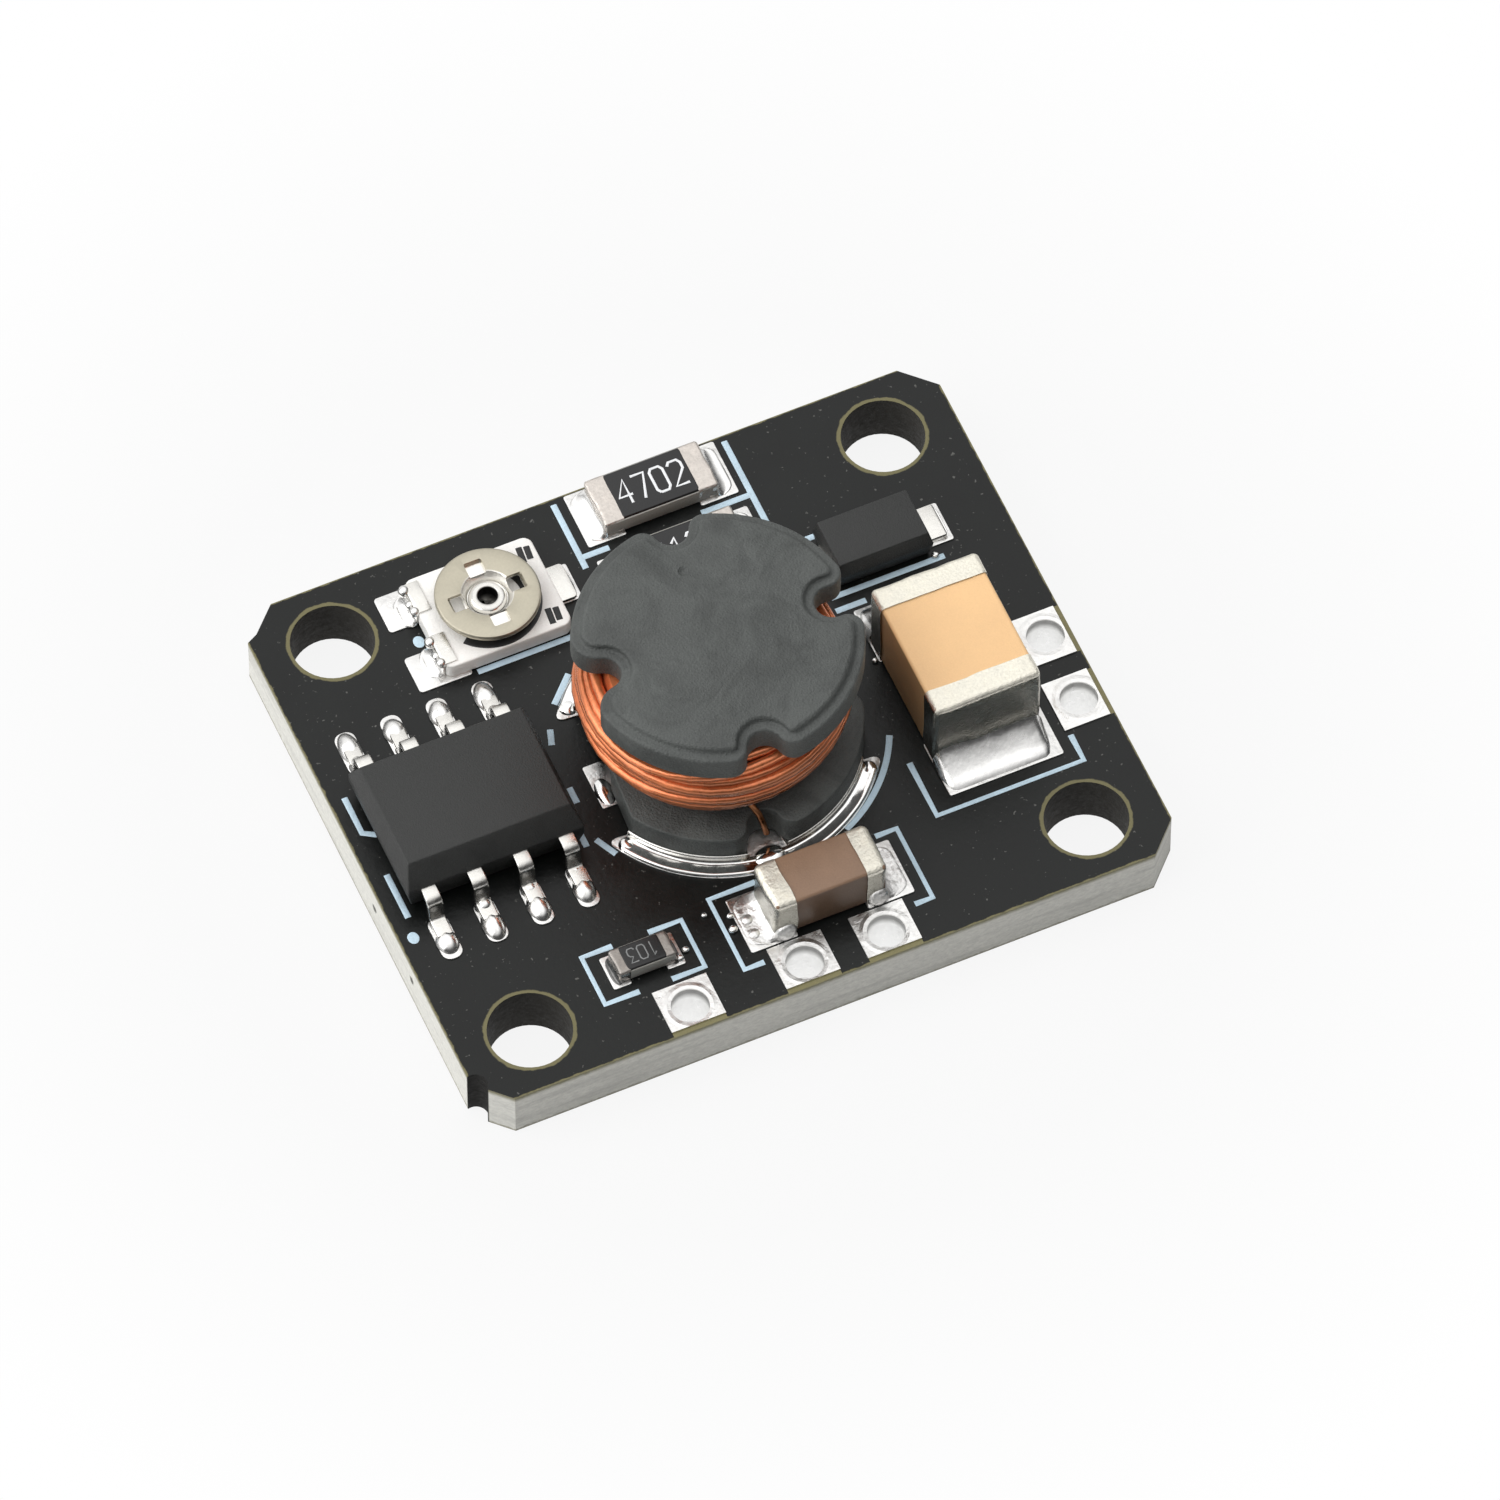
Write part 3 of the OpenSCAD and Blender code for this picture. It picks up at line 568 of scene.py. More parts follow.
def board_finish(look):
    """Black mask on the faces, pale laminate on the edges, bare rings at the holes, tinned wire holes."""
    made = Finish("black_mask_board", specular=look.mask_shine)
    x, y, z = made.axes()
    aside = made.sum("ABSOLUTE", x)
    ahead = made.sum("ABSOLUTE", y)
    flat = made.sum("GREATER_THAN", made.sum("ABSOLUTE", made.facing()[2]), 0.5)
    low, high = span("circuit_board")

    # The mask, in soft clouds and with grains of dust
    cloud = made.noise(1.6, 3)
    mask = made.mixed(made.scaled(cloud, 0.35, 0.7, 0, 1), shade(look.mask, 0.7), shade(look.mask, 1.35))
    dust = made.scaled(made.noise(0.11, 2, 0.4), 0.71, 0.78, 0, 0.35)
    top = made.mixed(dust, mask, shade(look.laminate, 0.35))

    # The cut edge: fibres and weave, bare along both faces
    fibre = made.noise(0.09, 4, 0.65, (0.6, 0.6, 1))
    weave = made.noise(0.5, 3, 0.6, (0.12, 0.12, 1.6))
    edge = made.mixed(made.spread(fibre, 0, 1), shade(look.laminate, 0.86), shade(look.laminate, 1.1))
    edge = made.mixed(made.scaled(weave, 0.5, 0.7, 0, 0.35), edge, shade(look.laminate, 0.5))
    level = made.sum("MULTIPLY_ADD", fibre, 0.16 * MM, z)
    edge = made.mixed(made.scaled(level, 1.48 * MM, 1.62 * MM, 0, 0.85), edge, look.bare)
    edge = made.mixed(made.within(level, 0.1, 0.19, 0.7), edge, look.bare)

    # Bare rings round the mounting holes, and their walls painted dark as shade
    pattern = next(m for m in frame["record"]["mounts"] if m["kind"] == "bolt_pattern")["dims"]
    hole = pattern["hole_r_mm"]
    reach = made.distance(aside, pattern["spacing_x_mm"] / 2, ahead, pattern["spacing_y_mm"] / 2)
    ragged = made.sum("MULTIPLY_ADD", made.noise(0.3, 4), 0.12 * MM, reach)
    top = made.mixed(made.within(ragged, hole + 0.14, hole + 0.17), top, shade(look.bare, 0.8))
    wall = made.mixed(fibre, shade(look.hole, 0.6), shade(look.hole, 1.5))
    edge = made.mixed(made.within(reach, hole + 0.02, hole + 0.06), edge, wall)

    # The nick in the front left corner, painted dark as its shade, and two dark spots in the left edge
    nick = made.distance(x, low.x + 0.085, y, low.y + 0.765)
    edge = made.mixed(made.within(nick, 0.34, 0.37), edge, shade(look.hole, 0.25))
    left = made.sum("LESS_THAN", x, (low.x + 0.02) * MM)
    for place, height in ((-1.0, 0.8), (-3.4, 0.9)):
        spot = made.sum("MULTIPLY_ADD", fibre, 0.14 * MM, made.distance(y, place, z, height))
        dark = made.sum("MULTIPLY", left, made.within(spot, 0.16, 0.22, 0.85))
        edge = made.mixed(dark, edge, shade(look.hole, 0.7))

    # The frayed rim of the mask, open between each wire pad and the board's edge
    frayed = made.sum("MULTIPLY", made.noise(0.25, 4), 0.11 * MM)
    in_x = made.sum("ADD", made.sum("SUBTRACT", high.x * MM, aside), frayed)
    in_y = made.sum("ADD", made.sum("SUBTRACT", high.y * MM, ahead), frayed)
    bare = made.within(made.sum("MINIMUM", in_x, in_y), 0.07, 0.1, 0.9)
    tinned = 0.0
    for hole_x, hole_y, radius in wire_holes():
        far = made.distance(x, hole_x, y, hole_y)
        tinned = made.sum("MAXIMUM", made.within(far, radius + 0.01, radius + 0.03), tinned)
        if abs(hole_x) > abs(hole_y):
            along = made.sum("SUBTRACT", y, hole_y * MM)
            near = made.sum("MULTIPLY", made.sum("LESS_THAN", in_x, 0.3 * MM), made.sum("GREATER_THAN", x, 0))
        else:
            along = made.sum("SUBTRACT", x, hole_x * MM)
            near = made.sum("MULTIPLY", made.sum("LESS_THAN", in_y, 0.3 * MM), made.sum("LESS_THAN", y, 0))
        strip = made.sum("LESS_THAN", made.sum("ABSOLUTE", along), 0.74 * MM)
        bare = made.sum("MAXIMUM", made.sum("MULTIPLY", strip, near), bare)
    speck = made.noise(0.06, 5, 0.7)
    top = made.mixed(bare, top, made.mixed(speck, shade(look.bare, 0.8), shade(look.bare, 1.25)))

    # Tin down the wire holes, a lighter copy of the tin as painted light and a darker copy near the top as
    # painted shadow
    tinned = made.sum("MULTIPLY", tinned, made.sum("SUBTRACT", 1.0, flat))
    shadow = made.scaled(z, 1.2 * MM, 1.45 * MM, 0, 1)
    barrel = made.mixed(shadow, shade(look.tin, 1.25), shade(look.tin, 0.4))
    made.paint(made.mixed(tinned, made.mixed(flat, edge, top), barrel))
    made.feed("Metallic", tinned)

    gloss = made.spread(cloud, 0.3, 0.42)
    matt = made.spread(fibre, 0.6, 0.85)
    rough = made.sum("MULTIPLY_ADD", flat, made.sum("SUBTRACT", gloss, matt), matt)
    made.feed("Roughness", made.sum("MULTIPLY_ADD", tinned, -0.36, rough))
    laminate = made.sum("SUBTRACT", 1.0, tinned)
    made.relief(made.sum("MULTIPLY", fibre, laminate), 0.02, 0.5)
    made.relief(made.sum("MULTIPLY", made.noise(0.5, 3), laminate), 0.012, 0.5)


def pad_finish(rgb):
    """Tin in uneven patches, with a raised lip round each wire hole."""
    made = plain_finish("tinned_pad", rgb, 1.0, (0.24, 0.5), 0.3, 0.1, 0.012, 0.1)
    x, y, _ = made.axes()
    lip = 0.0
    for hole_x, hole_y, radius in wire_holes():
        off = made.sum("SUBTRACT", made.distance(x, hole_x, y, hole_y), (radius + 0.1) * MM)
        lip = made.sum("MAXIMUM", made.within(made.sum("ABSOLUTE", off), 0, 0.1), lip)
    made.relief(lip, 0.02)
    made.relief(made.noise(0.3, 3), 0.025)


def eyelet_finish(rgb):
    """Bright on the rolled rim, painted nearly black down the hole as shade."""
    made = Finish("eyelet_tin", metal=1.0)
    x, y, _ = made.axes()
    at = middle("trimmer_eyelet")
    speck = made.noise(0.08, 3)
    made.paint(made.mixed(speck, shade(rgb, 0.85), rgb))
    deep = made.within(made.distance(x, at.x, y, at.y), 0.26, 0.29)
    # Painted shade: the inside of the hole nearly black
    made.over(deep, shade(rgb, 0.02))
    made.feed("Roughness", made.scaled(deep, 0, 1, 0.22, 0.7))
    made.relief(speck, 0.003)


def painted_rotor_highlights(made, rgb):
    """Paints highlights: brightens the dish round the eyelet and the floors of the slots."""
    x, y, z = made.axes()
    at = middle("trimmer_eyelet")
    out = made.distance(x, at.x, y, at.y)
    deep = made.sum("LESS_THAN", z, (span("trimmer_rotor")[1].z - 0.1) * MM)
    slot = made.sum("MULTIPLY", deep, made.sum("LESS_THAN", out, 1.1 * MM))
    made.over(made.sum("MAXIMUM", made.within(out, 0.66, 0.7), slot), rgb)


def smudged_core(made, rgb):
    """Lays dark smudges on the ferrite."""
    made.over(made.scaled(made.noise(1.9, 4, 0.6, twist=1.2), 0.44, 0.64, 0, 0.6), rgb)


def shaded_copper(made, rgb):
    """Gives the copper its enamel, and darkens the front of the winding below the upper flange as painted
    shade.
    """
    made.feed("Coat Weight", 0.4)
    front = made.scaled(made.facing()[1], -0.55, -0.95, 0, 0.7)
    made.over(made.sum("MULTIPLY", front, made.within(made.axes()[2], 5.1, 5.4)), rgb)


def painted_side_shade(made, rgb):
    """Darkens the upright sides of a block as painted shade."""
    made.over(made.scaled(made.facing()[2], 0.6, 0.15, 0, 0.7), rgb)


# Relief on top of a finish's own grain: width of the pattern and depth, in millimetres
CELLS = {
    "granular_tin": (0.09, 0.008), "black_moulding": (0.05, 0.006), "diode_moulding": (0.05, 0.006),
    "sintered_ferrite": (0.07, 0.012),
}
SWELLS = {
    "tinned_land": (0.4, 0.03), "pale_tin": (0.25, 0.02), "mottled_solder": (0.28, 0.05),
    "white_ceramic": (0.3, 0.015), "tan_ceramic": (0.25, 0.008), "brown_ceramic": (0.25, 0.008),
    "pale_blue_print": (0.08, 0.01),
}
SOFT_SWELLS = {
    "bright_solder": (0.35, 0.008), "smooth_solder": (0.5, 0.006), "enamelled_copper": (0.25, 0.006),
}


def make_finishes(props):
    board, metal, trim, coil = props.board, props.joints, props.trimmer, props.inductor
    caps, flat = props.capacitors, props.resistors
    board_finish(board)
    pad_finish(board.tin)
    eyelet_finish(metal.lead)

    # Name, colour, metal, roughness, width of patches, grain, its depth, contrast, roughness of upright faces
    rows = (
        ("tinned_land", board.tin, 1, (0.24, 0.48), 0.35, 0.09, 0.01, 0.08),
        ("bright_solder", metal.solder, 1, (0.18, 0.32), 0.4, 0.09, 0.0012, 0.07),
        ("smooth_solder", metal.solder, 1, (0.07, 0.14), 0.4, 0.09, 0.0008, 0.07),
        ("plated_lead", metal.lead, 1, (0.2, 0.36), 0.3, 0.08, 0.004, 0.08, (0.1, 0.18)),
        ("granular_tin", metal.ends, 1, (0.4, 0.58), 0.35, 0.055, 0.014, 0.14, (0.14, 0.24)),
        ("pale_tin", metal.pale, 1, (0.3, 0.52), 0.3, 0.07, 0.012, 0.16, (0.2, 0.3)),
        # Darker copies of the pale tin and the solder for the front resistor: painted shade
        ("dull_tin", shade(metal.pale, 0.55), 1, (0.3, 0.5), 0.3, 0.07, 0.01, 0.2, (0.2, 0.3)),
        ("dull_solder", shade(metal.solder, 0.16), 1, (0.2, 0.35), 0.3, 0.09, 0.004, 0.2),
        ("mottled_solder", shade(metal.solder, 0.9), 1, (0.3, 0.5), 0.3, 0.08, 0.006, 0.14),
        ("black_moulding", props.chip.body, 0, (0.42, 0.58), 0.7, 0.035, 0.012, 0.25),
        ("diode_moulding", props.diode.body, 0, (0.4, 0.55), 0.6, 0.035, 0.012, 0.25),
        ("white_ceramic", trim.base, 0, (0.35, 0.55), 0.8, 0.04, 0.01, 0.07),
        ("printed_track", trim.track, 0, (0.35, 0.5), 0.4, 0.05, 0.01, 0.3),
        ("satin_nickel", trim.rotor, 1, (0.28, 0.42), 0.6, 0.06, 0.003, 0.07),
        ("sintered_ferrite", coil.ferrite, 0, (0.5, 0.68), 2.4, 0.045, 0.018, 0.28),
        ("enamelled_copper", coil.copper, 0.6, (0.22, 0.36), 1.6, 0.12, 0.004, 0.3),
        ("bare_tail", coil.tail_copper, 1, (0.25, 0.4), 0.4, 0.1, 0.006, 0.2),
        ("tan_ceramic", caps.tan, 0, (0.4, 0.52), 1.2, 0.05, 0.008, 0.05),
        ("brown_ceramic", caps.brown, 0, (0.34, 0.48), 0.9, 0.05, 0.008, 0.12),
        ("white_plate", flat.plate, 0, (0.5, 0.7), 0.5, 0.05, 0.01, 0.08),
        ("glazed_coat", flat.coat, 0, (0.26, 0.4), 0.6, 0.06, 0.008, 0.3),
        ("white_figures", flat.figures, 0, (0.5, 0.6), 0.3, 0.04, 0.006, 0.1),
        ("faint_figures", flat.faint, 0, (0.5, 0.6), 0.3, 0.04, 0.006, 0.2),
        ("pale_blue_print", board.ink, 0, (0.5, 0.65), 0.5, 0.06, 0.01, 0.12),
    )
    made = {row[0]: plain_finish(*row) for row in rows}
    for name, (grain, depth) in CELLS.items():
        made[name].relief(made[name].cells(grain), depth)
    for name, (grain, depth) in SWELLS.items():
        made[name].relief(made[name].noise(grain, 3), depth)
    for name, (grain, depth) in SOFT_SWELLS.items():
        made[name].relief(made[name].noise(grain, 2), depth)

    ferrite, lead, nickel = made["sintered_ferrite"], made["plated_lead"], made["satin_nickel"]
    ferrite.relief(ferrite.noise(0.6, 4, 0.6), 0.03)
    lead.relief(lead.noise(0.05, 3, 0.6, (6, 1, 1)), 0.003)
    nickel.relief(nickel.noise(0.04, 3, 0.6, (1, 9, 1)), 0.002)
    # Painted highlights on the rotor, in a lighter copy of the lead colour
    painted_rotor_highlights(nickel, shade(metal.lead, 1.2))
    smudged_core(ferrite, shade(coil.ferrite, 0.5))
    shaded_copper(made["enamelled_copper"], shade(coil.tail_copper, 0.5))
    # Painted shade on the upright sides of the capacitors' bodies and metal ends
    for name, rgb in (("granular_tin", metal.ends), ("tan_ceramic", caps.tan), ("brown_ceramic", caps.brown)):
        painted_side_shade(made[name], shade(rgb, 0.3))


# Sizes and colours that a user would change

class BoardLook(bpy.types.PropertyGroup):
    mask: colour("Mask", (16, 18, 17), "Black solder mask on both faces")
    mask_shine: strength("Mask shine", 0.31, "Strength of the mask's reflections", max=1.0)
    laminate: colour("Laminate", (230, 229, 222), "Cut edge of the laminate")
    bare: colour("Bare laminate", (126, 120, 84), "Laminate where the mask is open")
    # Painted shade: the dark colour of the mounting hole walls and the nick, also used for the two dark spots
    # in the left edge
    hole: colour("Hole wall", (48, 46, 42), "Wall of a mounting hole")
    tin: colour("Tin", (233, 232, 230), "Tinned lands and wire pads")
    ink: colour("Print", (198, 221, 235), "Printed lines on the board")
    ink_width: length("Print width", 0.165, "Width of a printed line")
    ink_height: length("Print height", 0.014, "Height of the print above the mask")
    dot: length("Dot", 0.3, "Diameter of a printed dot")


class JointLook(bpy.types.PropertyGroup):
    solder: colour("Solder", (236, 235, 233), "Solder joints")
    lead: colour("Leads", (224, 222, 217), "Plated leads")
    ends: colour("Ends", (236, 232, 219), "Metal ends of the flat parts")
    pale: colour("Pale ends", (207, 200, 193), "Metal ends of the resistors")
    margin: length("Margin", 0.08, "Edge of a land that stays free of solder")
    swell: length("Unevenness", 0.03, "How far a joint's surface swells and dips")


class ChipLook(bpy.types.PropertyGroup):
    body: colour("Body", (39, 40, 39), "Moulded body")
    softness: length("Edge", 0.04, "Rounding of the body's edges")
    lead_width: length("Lead width", 0.42, "Width of a lead")
    lead_thickness: length("Lead thickness", 0.2, "Thickness of a lead")
    pitch: length("Pitch", 1.27, "Distance between leads")
    per_side: count("Leads per side", 4, "Leads on each side")


class TrimmerLook(bpy.types.PropertyGroup):
    base: colour("Base", (247, 245, 241), "Ceramic base")
    track: colour("Track", (26, 26, 26), "Printed track and marks")
    rotor: colour("Rotor", (184, 178, 161), "Nickel plated rotor")
    slot_reach: length("Slot reach", 2.06, "Driver cross from tip to tip")
    slot_width: length("Slot width", 0.48, "Width of the driver cross")


class InductorLook(bpy.types.PropertyGroup):
    ferrite: colour("Ferrite", (82, 85, 83), "Drum core")
    copper: colour("Copper", (224, 130, 82), "Enamelled wire")
    tail_copper: colour("Tail copper", (172, 116, 80), "Bare wire tails")
    wire: length("Wire", 0.28, "Diameter of the wire")
    turns: count("Turns", 10, "Turns in the outer layer")
    tail: length("Tail", 0.18, "Diameter of the bare tails")
    winding: length("Winding", 6.36, "Diameter of the winding at its fullest, between the wire's middles")
    slump: length("Slump", 0.8, "How far the end turns lie inside the middle ones")
    lopsided: length("Lopsided", 0.3, "How much further the winding stands out at the left")
    strays: count("Stray turns", 7, "Turns that lie across the outer layer", 2)
    twist: FloatProperty(name="Twist", description="Turn of the inductor on the board",
                         default=math.radians(-3.5), subtype="ANGLE")
    flange: length("Flange", 7.5, "Diameter of the flanges")
    notch: length("Notch", 0.46, "Radius of a notch in the flanges")
    notch_side: length("Side notch", 3.1, "Distance of the left and right notches from the middle")
    notch_end: length("End notch", 3.46, "Distance of the front and back notches from the middle")
    mouth: length("Mouth", 0.42, "Rounding of a notch's mouth")
    wide_mouth: length("Wide mouth", 0.68, "Rounding of the left notch's mouth")
    ledge: length("Ledge", 0.25, "Width of the ledge round the raised top")
    raised: length("Raised top", 0.18, "Height of the raised top above the ledge")
    land: length("Land", 8.4, "Diameter of the circle that the two lands are parts of")
    land_gap: length("Land gap", 1.9, "Distance of a land's tips from the middle line")


class CapacitorLook(bpy.types.PropertyGroup):
    tan: colour("Large body", (251, 205, 150), "Ceramic of the large capacitor")
    brown: colour("Small body", (143, 114, 92), "Ceramic of the small capacitor")
    round_large: length("Large rounding", 0.16, "Rounding of the large capacitor's ends")
    round_small: length("Small rounding", 0.2, "Rounding of the small capacitor's ends")


class ResistorLook(bpy.types.PropertyGroup):
    plate: colour("Plate", (150, 148, 142), "Ceramic plate")
    coat: colour("Coat", (22, 22, 23), "Glazed coat")
    figures: colour("Figures", (236, 238, 240), "Printed figures")
    faint: colour("Faint figures", (132, 134, 134), "Printed figures on the front resistor")
    rear_code: print_code("Rear figures", "4702", "Figures on the rear resistor")
    inner_code: print_code("Inner figures", "1012", "Figures on the inner resistor")
    front_code: print_code("Front figures", "103", "Figures on the front resistor")


class DiodeLook(bpy.types.PropertyGroup):
    body: colour("Body", (38, 39, 38), "Moulded body")
    softness: length("Edge", 0.035, "Rounding of the body's edges")


class StageLook(bpy.types.PropertyGroup):
    azimuth: FloatProperty(name="Azimuth", description="Turn of the camera round the module",
                           default=math.radians(-23.917), subtype="ANGLE")
    elevation: FloatProperty(name="Elevation", description="Height of the camera above the horizon",
                             default=math.radians(58.289), subtype="ANGLE")
    distance: length("Distance", 449.79, "Distance of the camera from its target")
    target: FloatVectorProperty(name="Target", description="Point that the camera looks at",
                                default=(0.001133, -0.00008, 0.0), size=3, subtype="TRANSLATION",
                                unit="LENGTH")
    lens: FloatProperty(name="Lens", description="Focal length", default=420.0, min=1.0, unit="CAMERA")
    floor: colour("Floor", (198, 198, 198), "Pale floor")
    glow: strength("Glow", 0.88, "Share of white in the floor next to the module", max=1.0)
    sky: strength("Sky", 1.1, "Strength of the light from above")
    horizon: strength("Horizon", 0.06, "Strength of the light from all round")
    key: strength("Key lamp", 2.2, "Power of the large lamp", unit="POWER")
    top: strength("Top lamp", 0.6, "Power of the lamp overhead", unit="POWER")


class ModuleLook(bpy.types.PropertyGroup):
    board: group(BoardLook, "Board", "Board and print")
    joints: group(JointLook, "Joints", "Solder, leads and metal ends")
    chip: group(ChipLook, "Chip", "Eight pin chip")
    trimmer: group(TrimmerLook, "Trimmer", "Open trimmer")
    inductor: group(InductorLook, "Inductor", "Drum inductor")
    capacitors: group(CapacitorLook, "Capacitors", "Multilayer capacitors")
    resistors: group(ResistorLook, "Resistors", "Flat resistors")
    diode: group(DiodeLook, "Diode", "Diode")
    stage: group(StageLook, "Stage", "Floor, light and camera")


# Shapes that several pieces share

def aimed(direction):
    """Turn of a lamp or camera that looks in a direction."""
    return direction.to_track_quat("-Z", "Y").to_euler()


def arc(centre, radius, start, end, steps):
    """Points of an arc in a plane, with its angles in degrees."""
    turns = [math.radians(start + (end - start) * i / steps) for i in range(steps + 1)]
    return [(centre[0] + radius * math.cos(t), centre[1] + radius * math.sin(t)) for t in turns]


def meniscus(reach, rise, rim, hollow, steps=14):
    """Section of a solder joint: it climbs a wall at 0 and thins out, with a small rim at its far edge."""
    line = [(0.0, 0.0), (0.0, rise)]
    for i in range(1, steps):
        t = i / steps
        bead = rim * math.exp(-((t - 0.84) / 0.12) ** 2)
        sunk = 1 - math.sin(math.pi / 2 * t ** 0.65)
        line.append((reach * t, rise * (hollow * sunk + (1 - hollow) * (1 - t)) + bead + 0.012))
    return line + [(reach, 0.0)]


def fillet(wall, reach, rise, low, high, axis, rim=0.02, hollow=1.0):
    """Solder that climbs an upright wall and runs out along X or Y to one side of it, lower at both ends."""
    taper = 0.3
    spans = 6
    sign = 1 if reach > 0 else -1
    foot = LAND_TOP - 0.01
    along = 1 - axis
    outline = []
    for out, up in meniscus(abs(reach), rise, rim, hollow):
        point = [low, low, foot + up]
        point[axis] = wall + sign * out
        outline.append(point)
    piece = prism(outline, along_axis(along, high - low))
    across = along_axis(along, 1)
    with Bench(piece) as bench:
        for i in range(1, spans):
            bench.slice(along_axis(along, low + taper + (high - low - 2 * taper) * i / spans), across)
        for edge, inward in ((low, 1), (high, -1)):
            for share, height in ((1.0, 1.0), (0.6, 0.94), (0.3, 0.8), (0.1, 0.6), (0.0, 0.4)):
                place = edge + inward * taper * share
                if share:
                    bench.slice(along_axis(along, place), across)
                bench.points(lambda p: abs(p[along] - place) < 0.001)
                factors = [height, height, height]
                factors[along] = 1
                bench.size(factors, along_axis(axis, wall, foot))
    return piece


def solder_joints(lumps, name, node, finish="bright_solder"):
    """Makes lumps of solder one piece: slightly uneven, and flat where it wets the land."""
    swell = bpy.context.scene.boost_module.joints.swell / MM
    solder = grounded(uneven(joined(lumps), swell, 0.5), LAND_TOP - 0.004)
    settle(solder, name, finish, [node], smooth=60)


FIGURES = {
    "0": [(0.12, 0), (0.48, 0), (0.6, 0.14), (0.6, 0.86), (0.48, 1), (0.12, 1), (0, 0.86), (0, 0.14),
          (0.12, 0)],
    "1": [(0.12, 0.8), (0.34, 1), (0.34, 0)],
    "2": [(0, 0.86), (0.12, 1), (0.48, 1), (0.6, 0.86), (0.6, 0.62), (0, 0), (0.6, 0)],
    "3": [(0, 1), (0.6, 1), (0.26, 0.6), (0.48, 0.56), (0.6, 0.42), (0.6, 0.14), (0.48, 0), (0.12, 0),
          (0, 0.14)],
    "4": [(0.46, 0), (0.46, 1), (0, 0.34), (0.62, 0.34)],
    "7": [(0, 1), (0.6, 1), (0.22, 0)],
}


def figures(code, at, height, stroke):
    """Figures drawn with a pen, lying flat and centred on a point; a height below zero turns them round."""
    pitch = height * 0.66
    width = height * 0.8
    start = at[0] - ((len(code) - 1) * pitch + 0.6 * width) / 2
    lines = []
    for number, figure in enumerate(code):
        left = start + number * pitch
        lines.append([(left + x * width, at[1] + (y - 0.5) * height, at[2]) for x, y in FIGURES[figure]])
    return flattened(wire(lines, stroke / 2, 2), 0.16, at[2])


# Pieces

class MODULE_OT_board(bpy.types.Operator):
    """Makes the finishes and gives the board and its wire pads theirs"""

    bl_idname = "module.board"
    bl_label = "Board"
    bl_options = {"REGISTER", "UNDO"}

    def execute(self, context):
        make_finishes(context.scene.boost_module)
        dress("circuit_board", "black_mask_board")
        dress("front_wire_pads", "tinned_pad")
        dress("side_wire_pads", "tinned_pad")
        return {"FINISHED"}


class MODULE_OT_lands(bpy.types.Operator):
    """Models the tinned lands under the parts"""

    bl_idname = "module.lands"
    bl_label = "Lands"
    bl_options = {"REGISTER", "UNDO"}

    def execute(self, context):
        props = context.scene.boost_module
        self.margin = props.joints.margin / MM
        lands = self.chip_lands(props.chip) + self.trimmer_lands() + self.inductor_lands(props.inductor)
        # Metal on the lands, the axis it lies along, how far the lands reach under it, and their shift
        for name, metal, axis, band, shift in (
                ("large_capacitor", "_ends", 1, 0.7, 0.1), ("small_capacitor", "_ends", 0, 0.6, 0),
                ("rear_resistor", "_ends", 0, 0.55, 0), ("inner_resistor", "_ends", 0, 0.55, 0),
                ("front_resistor", "_ends", 0, 0.3, 0), ("diode", "_leads", 0, 0.63, 0)):
            lands += self.end_lands(span(name + metal), span(name + "_solder"), axis, band, shift)
        settle(soften(joined(lands), 0.018), "tinned_lands", "tinned_land", ["component_lands"])
        return {"FINISHED"}

    def land(self, low, high, corner):
        return rounded(block((*low, BOARD_TOP), (*high, LAND_TOP)), upright, corner, 5)

    def chip_lands(self, look):
        centre = middle("chip_body")
        tip = span("chip_leads")[1].y - centre.y
        half = look.lead_width / MM / 2 + 0.07
        heel, toe, corner = 0.7, 0.62, 0.24
        lands = []
        for row in (-1, 1):
            for i in range(look.per_side):
                x = centre.x + (i - (look.per_side - 1) / 2) * look.pitch / MM
                ends = sorted((centre.y + row * (tip - heel), centre.y + row * (tip + toe)))
                lands.append(self.land((x - half, ends[0]), (x + half, ends[1]), corner))
        return lands

    def trimmer_lands(self):
        low, high = span("trimmer_base")
        at = (low + high) / 2
        tip = span("trimmer_wiper_terminal")[1].x
        apart, half = 0.99, 0.56
        lands = []
        for side in (-1, 1):
            y = at.y + side * apart
            lands.append(self.land((low.x - 0.78, y - half), (low.x + 0.7, y + half), 0.1))
        return lands + [self.land((high.x - 0.4, at.y - half), (tip + 0.12, at.y + half), 0.06)]

    def inductor_lands(self, look):
        at = middle("coil_winding")
        gap = look.land_gap / MM
        lands = []
        for side in (-1, 1):
            half = rod(at, look.land / MM / 2, BOARD_TOP, LAND_TOP, 96)
            with Bench(half) as bench:
                bench.slice(at + Vector((0, side * gap, 0)), (0, side, 0), drop_below=True)
            rounded(half, lambda m, d: upright(m, d) and abs(m.y - at.y) < gap + 0.01, 0.3, 5)
            lands.append(rotated(half, look.twist, at))
        left = at.x - look.flange / MM / 2
        return lands + [self.land((left + 0.2, at.y - 0.76), (left + 1.12, at.y + 0.59), 0.05)]

    def end_lands(self, ends, wet, axis, band, shift):
        """Lands under both ends of a flat part: from past its solder to a band under the part."""
        across = 1 - axis
        spare = 0.1
        lands = []
        for side in (0, 1):
            near, far = [0, 0], [0, 0]
            near[across] = ends[0][across] - spare + shift
            far[across] = ends[1][across] + spare + shift
            outer = wet[side][axis] + (self.margin if side else -self.margin)
            inner = ends[side][axis] + (-band if side else band)
            near[axis], far[axis] = min(outer, inner), max(outer, inner)
            lands.append(self.land(near, far, 0.06))
        return lands


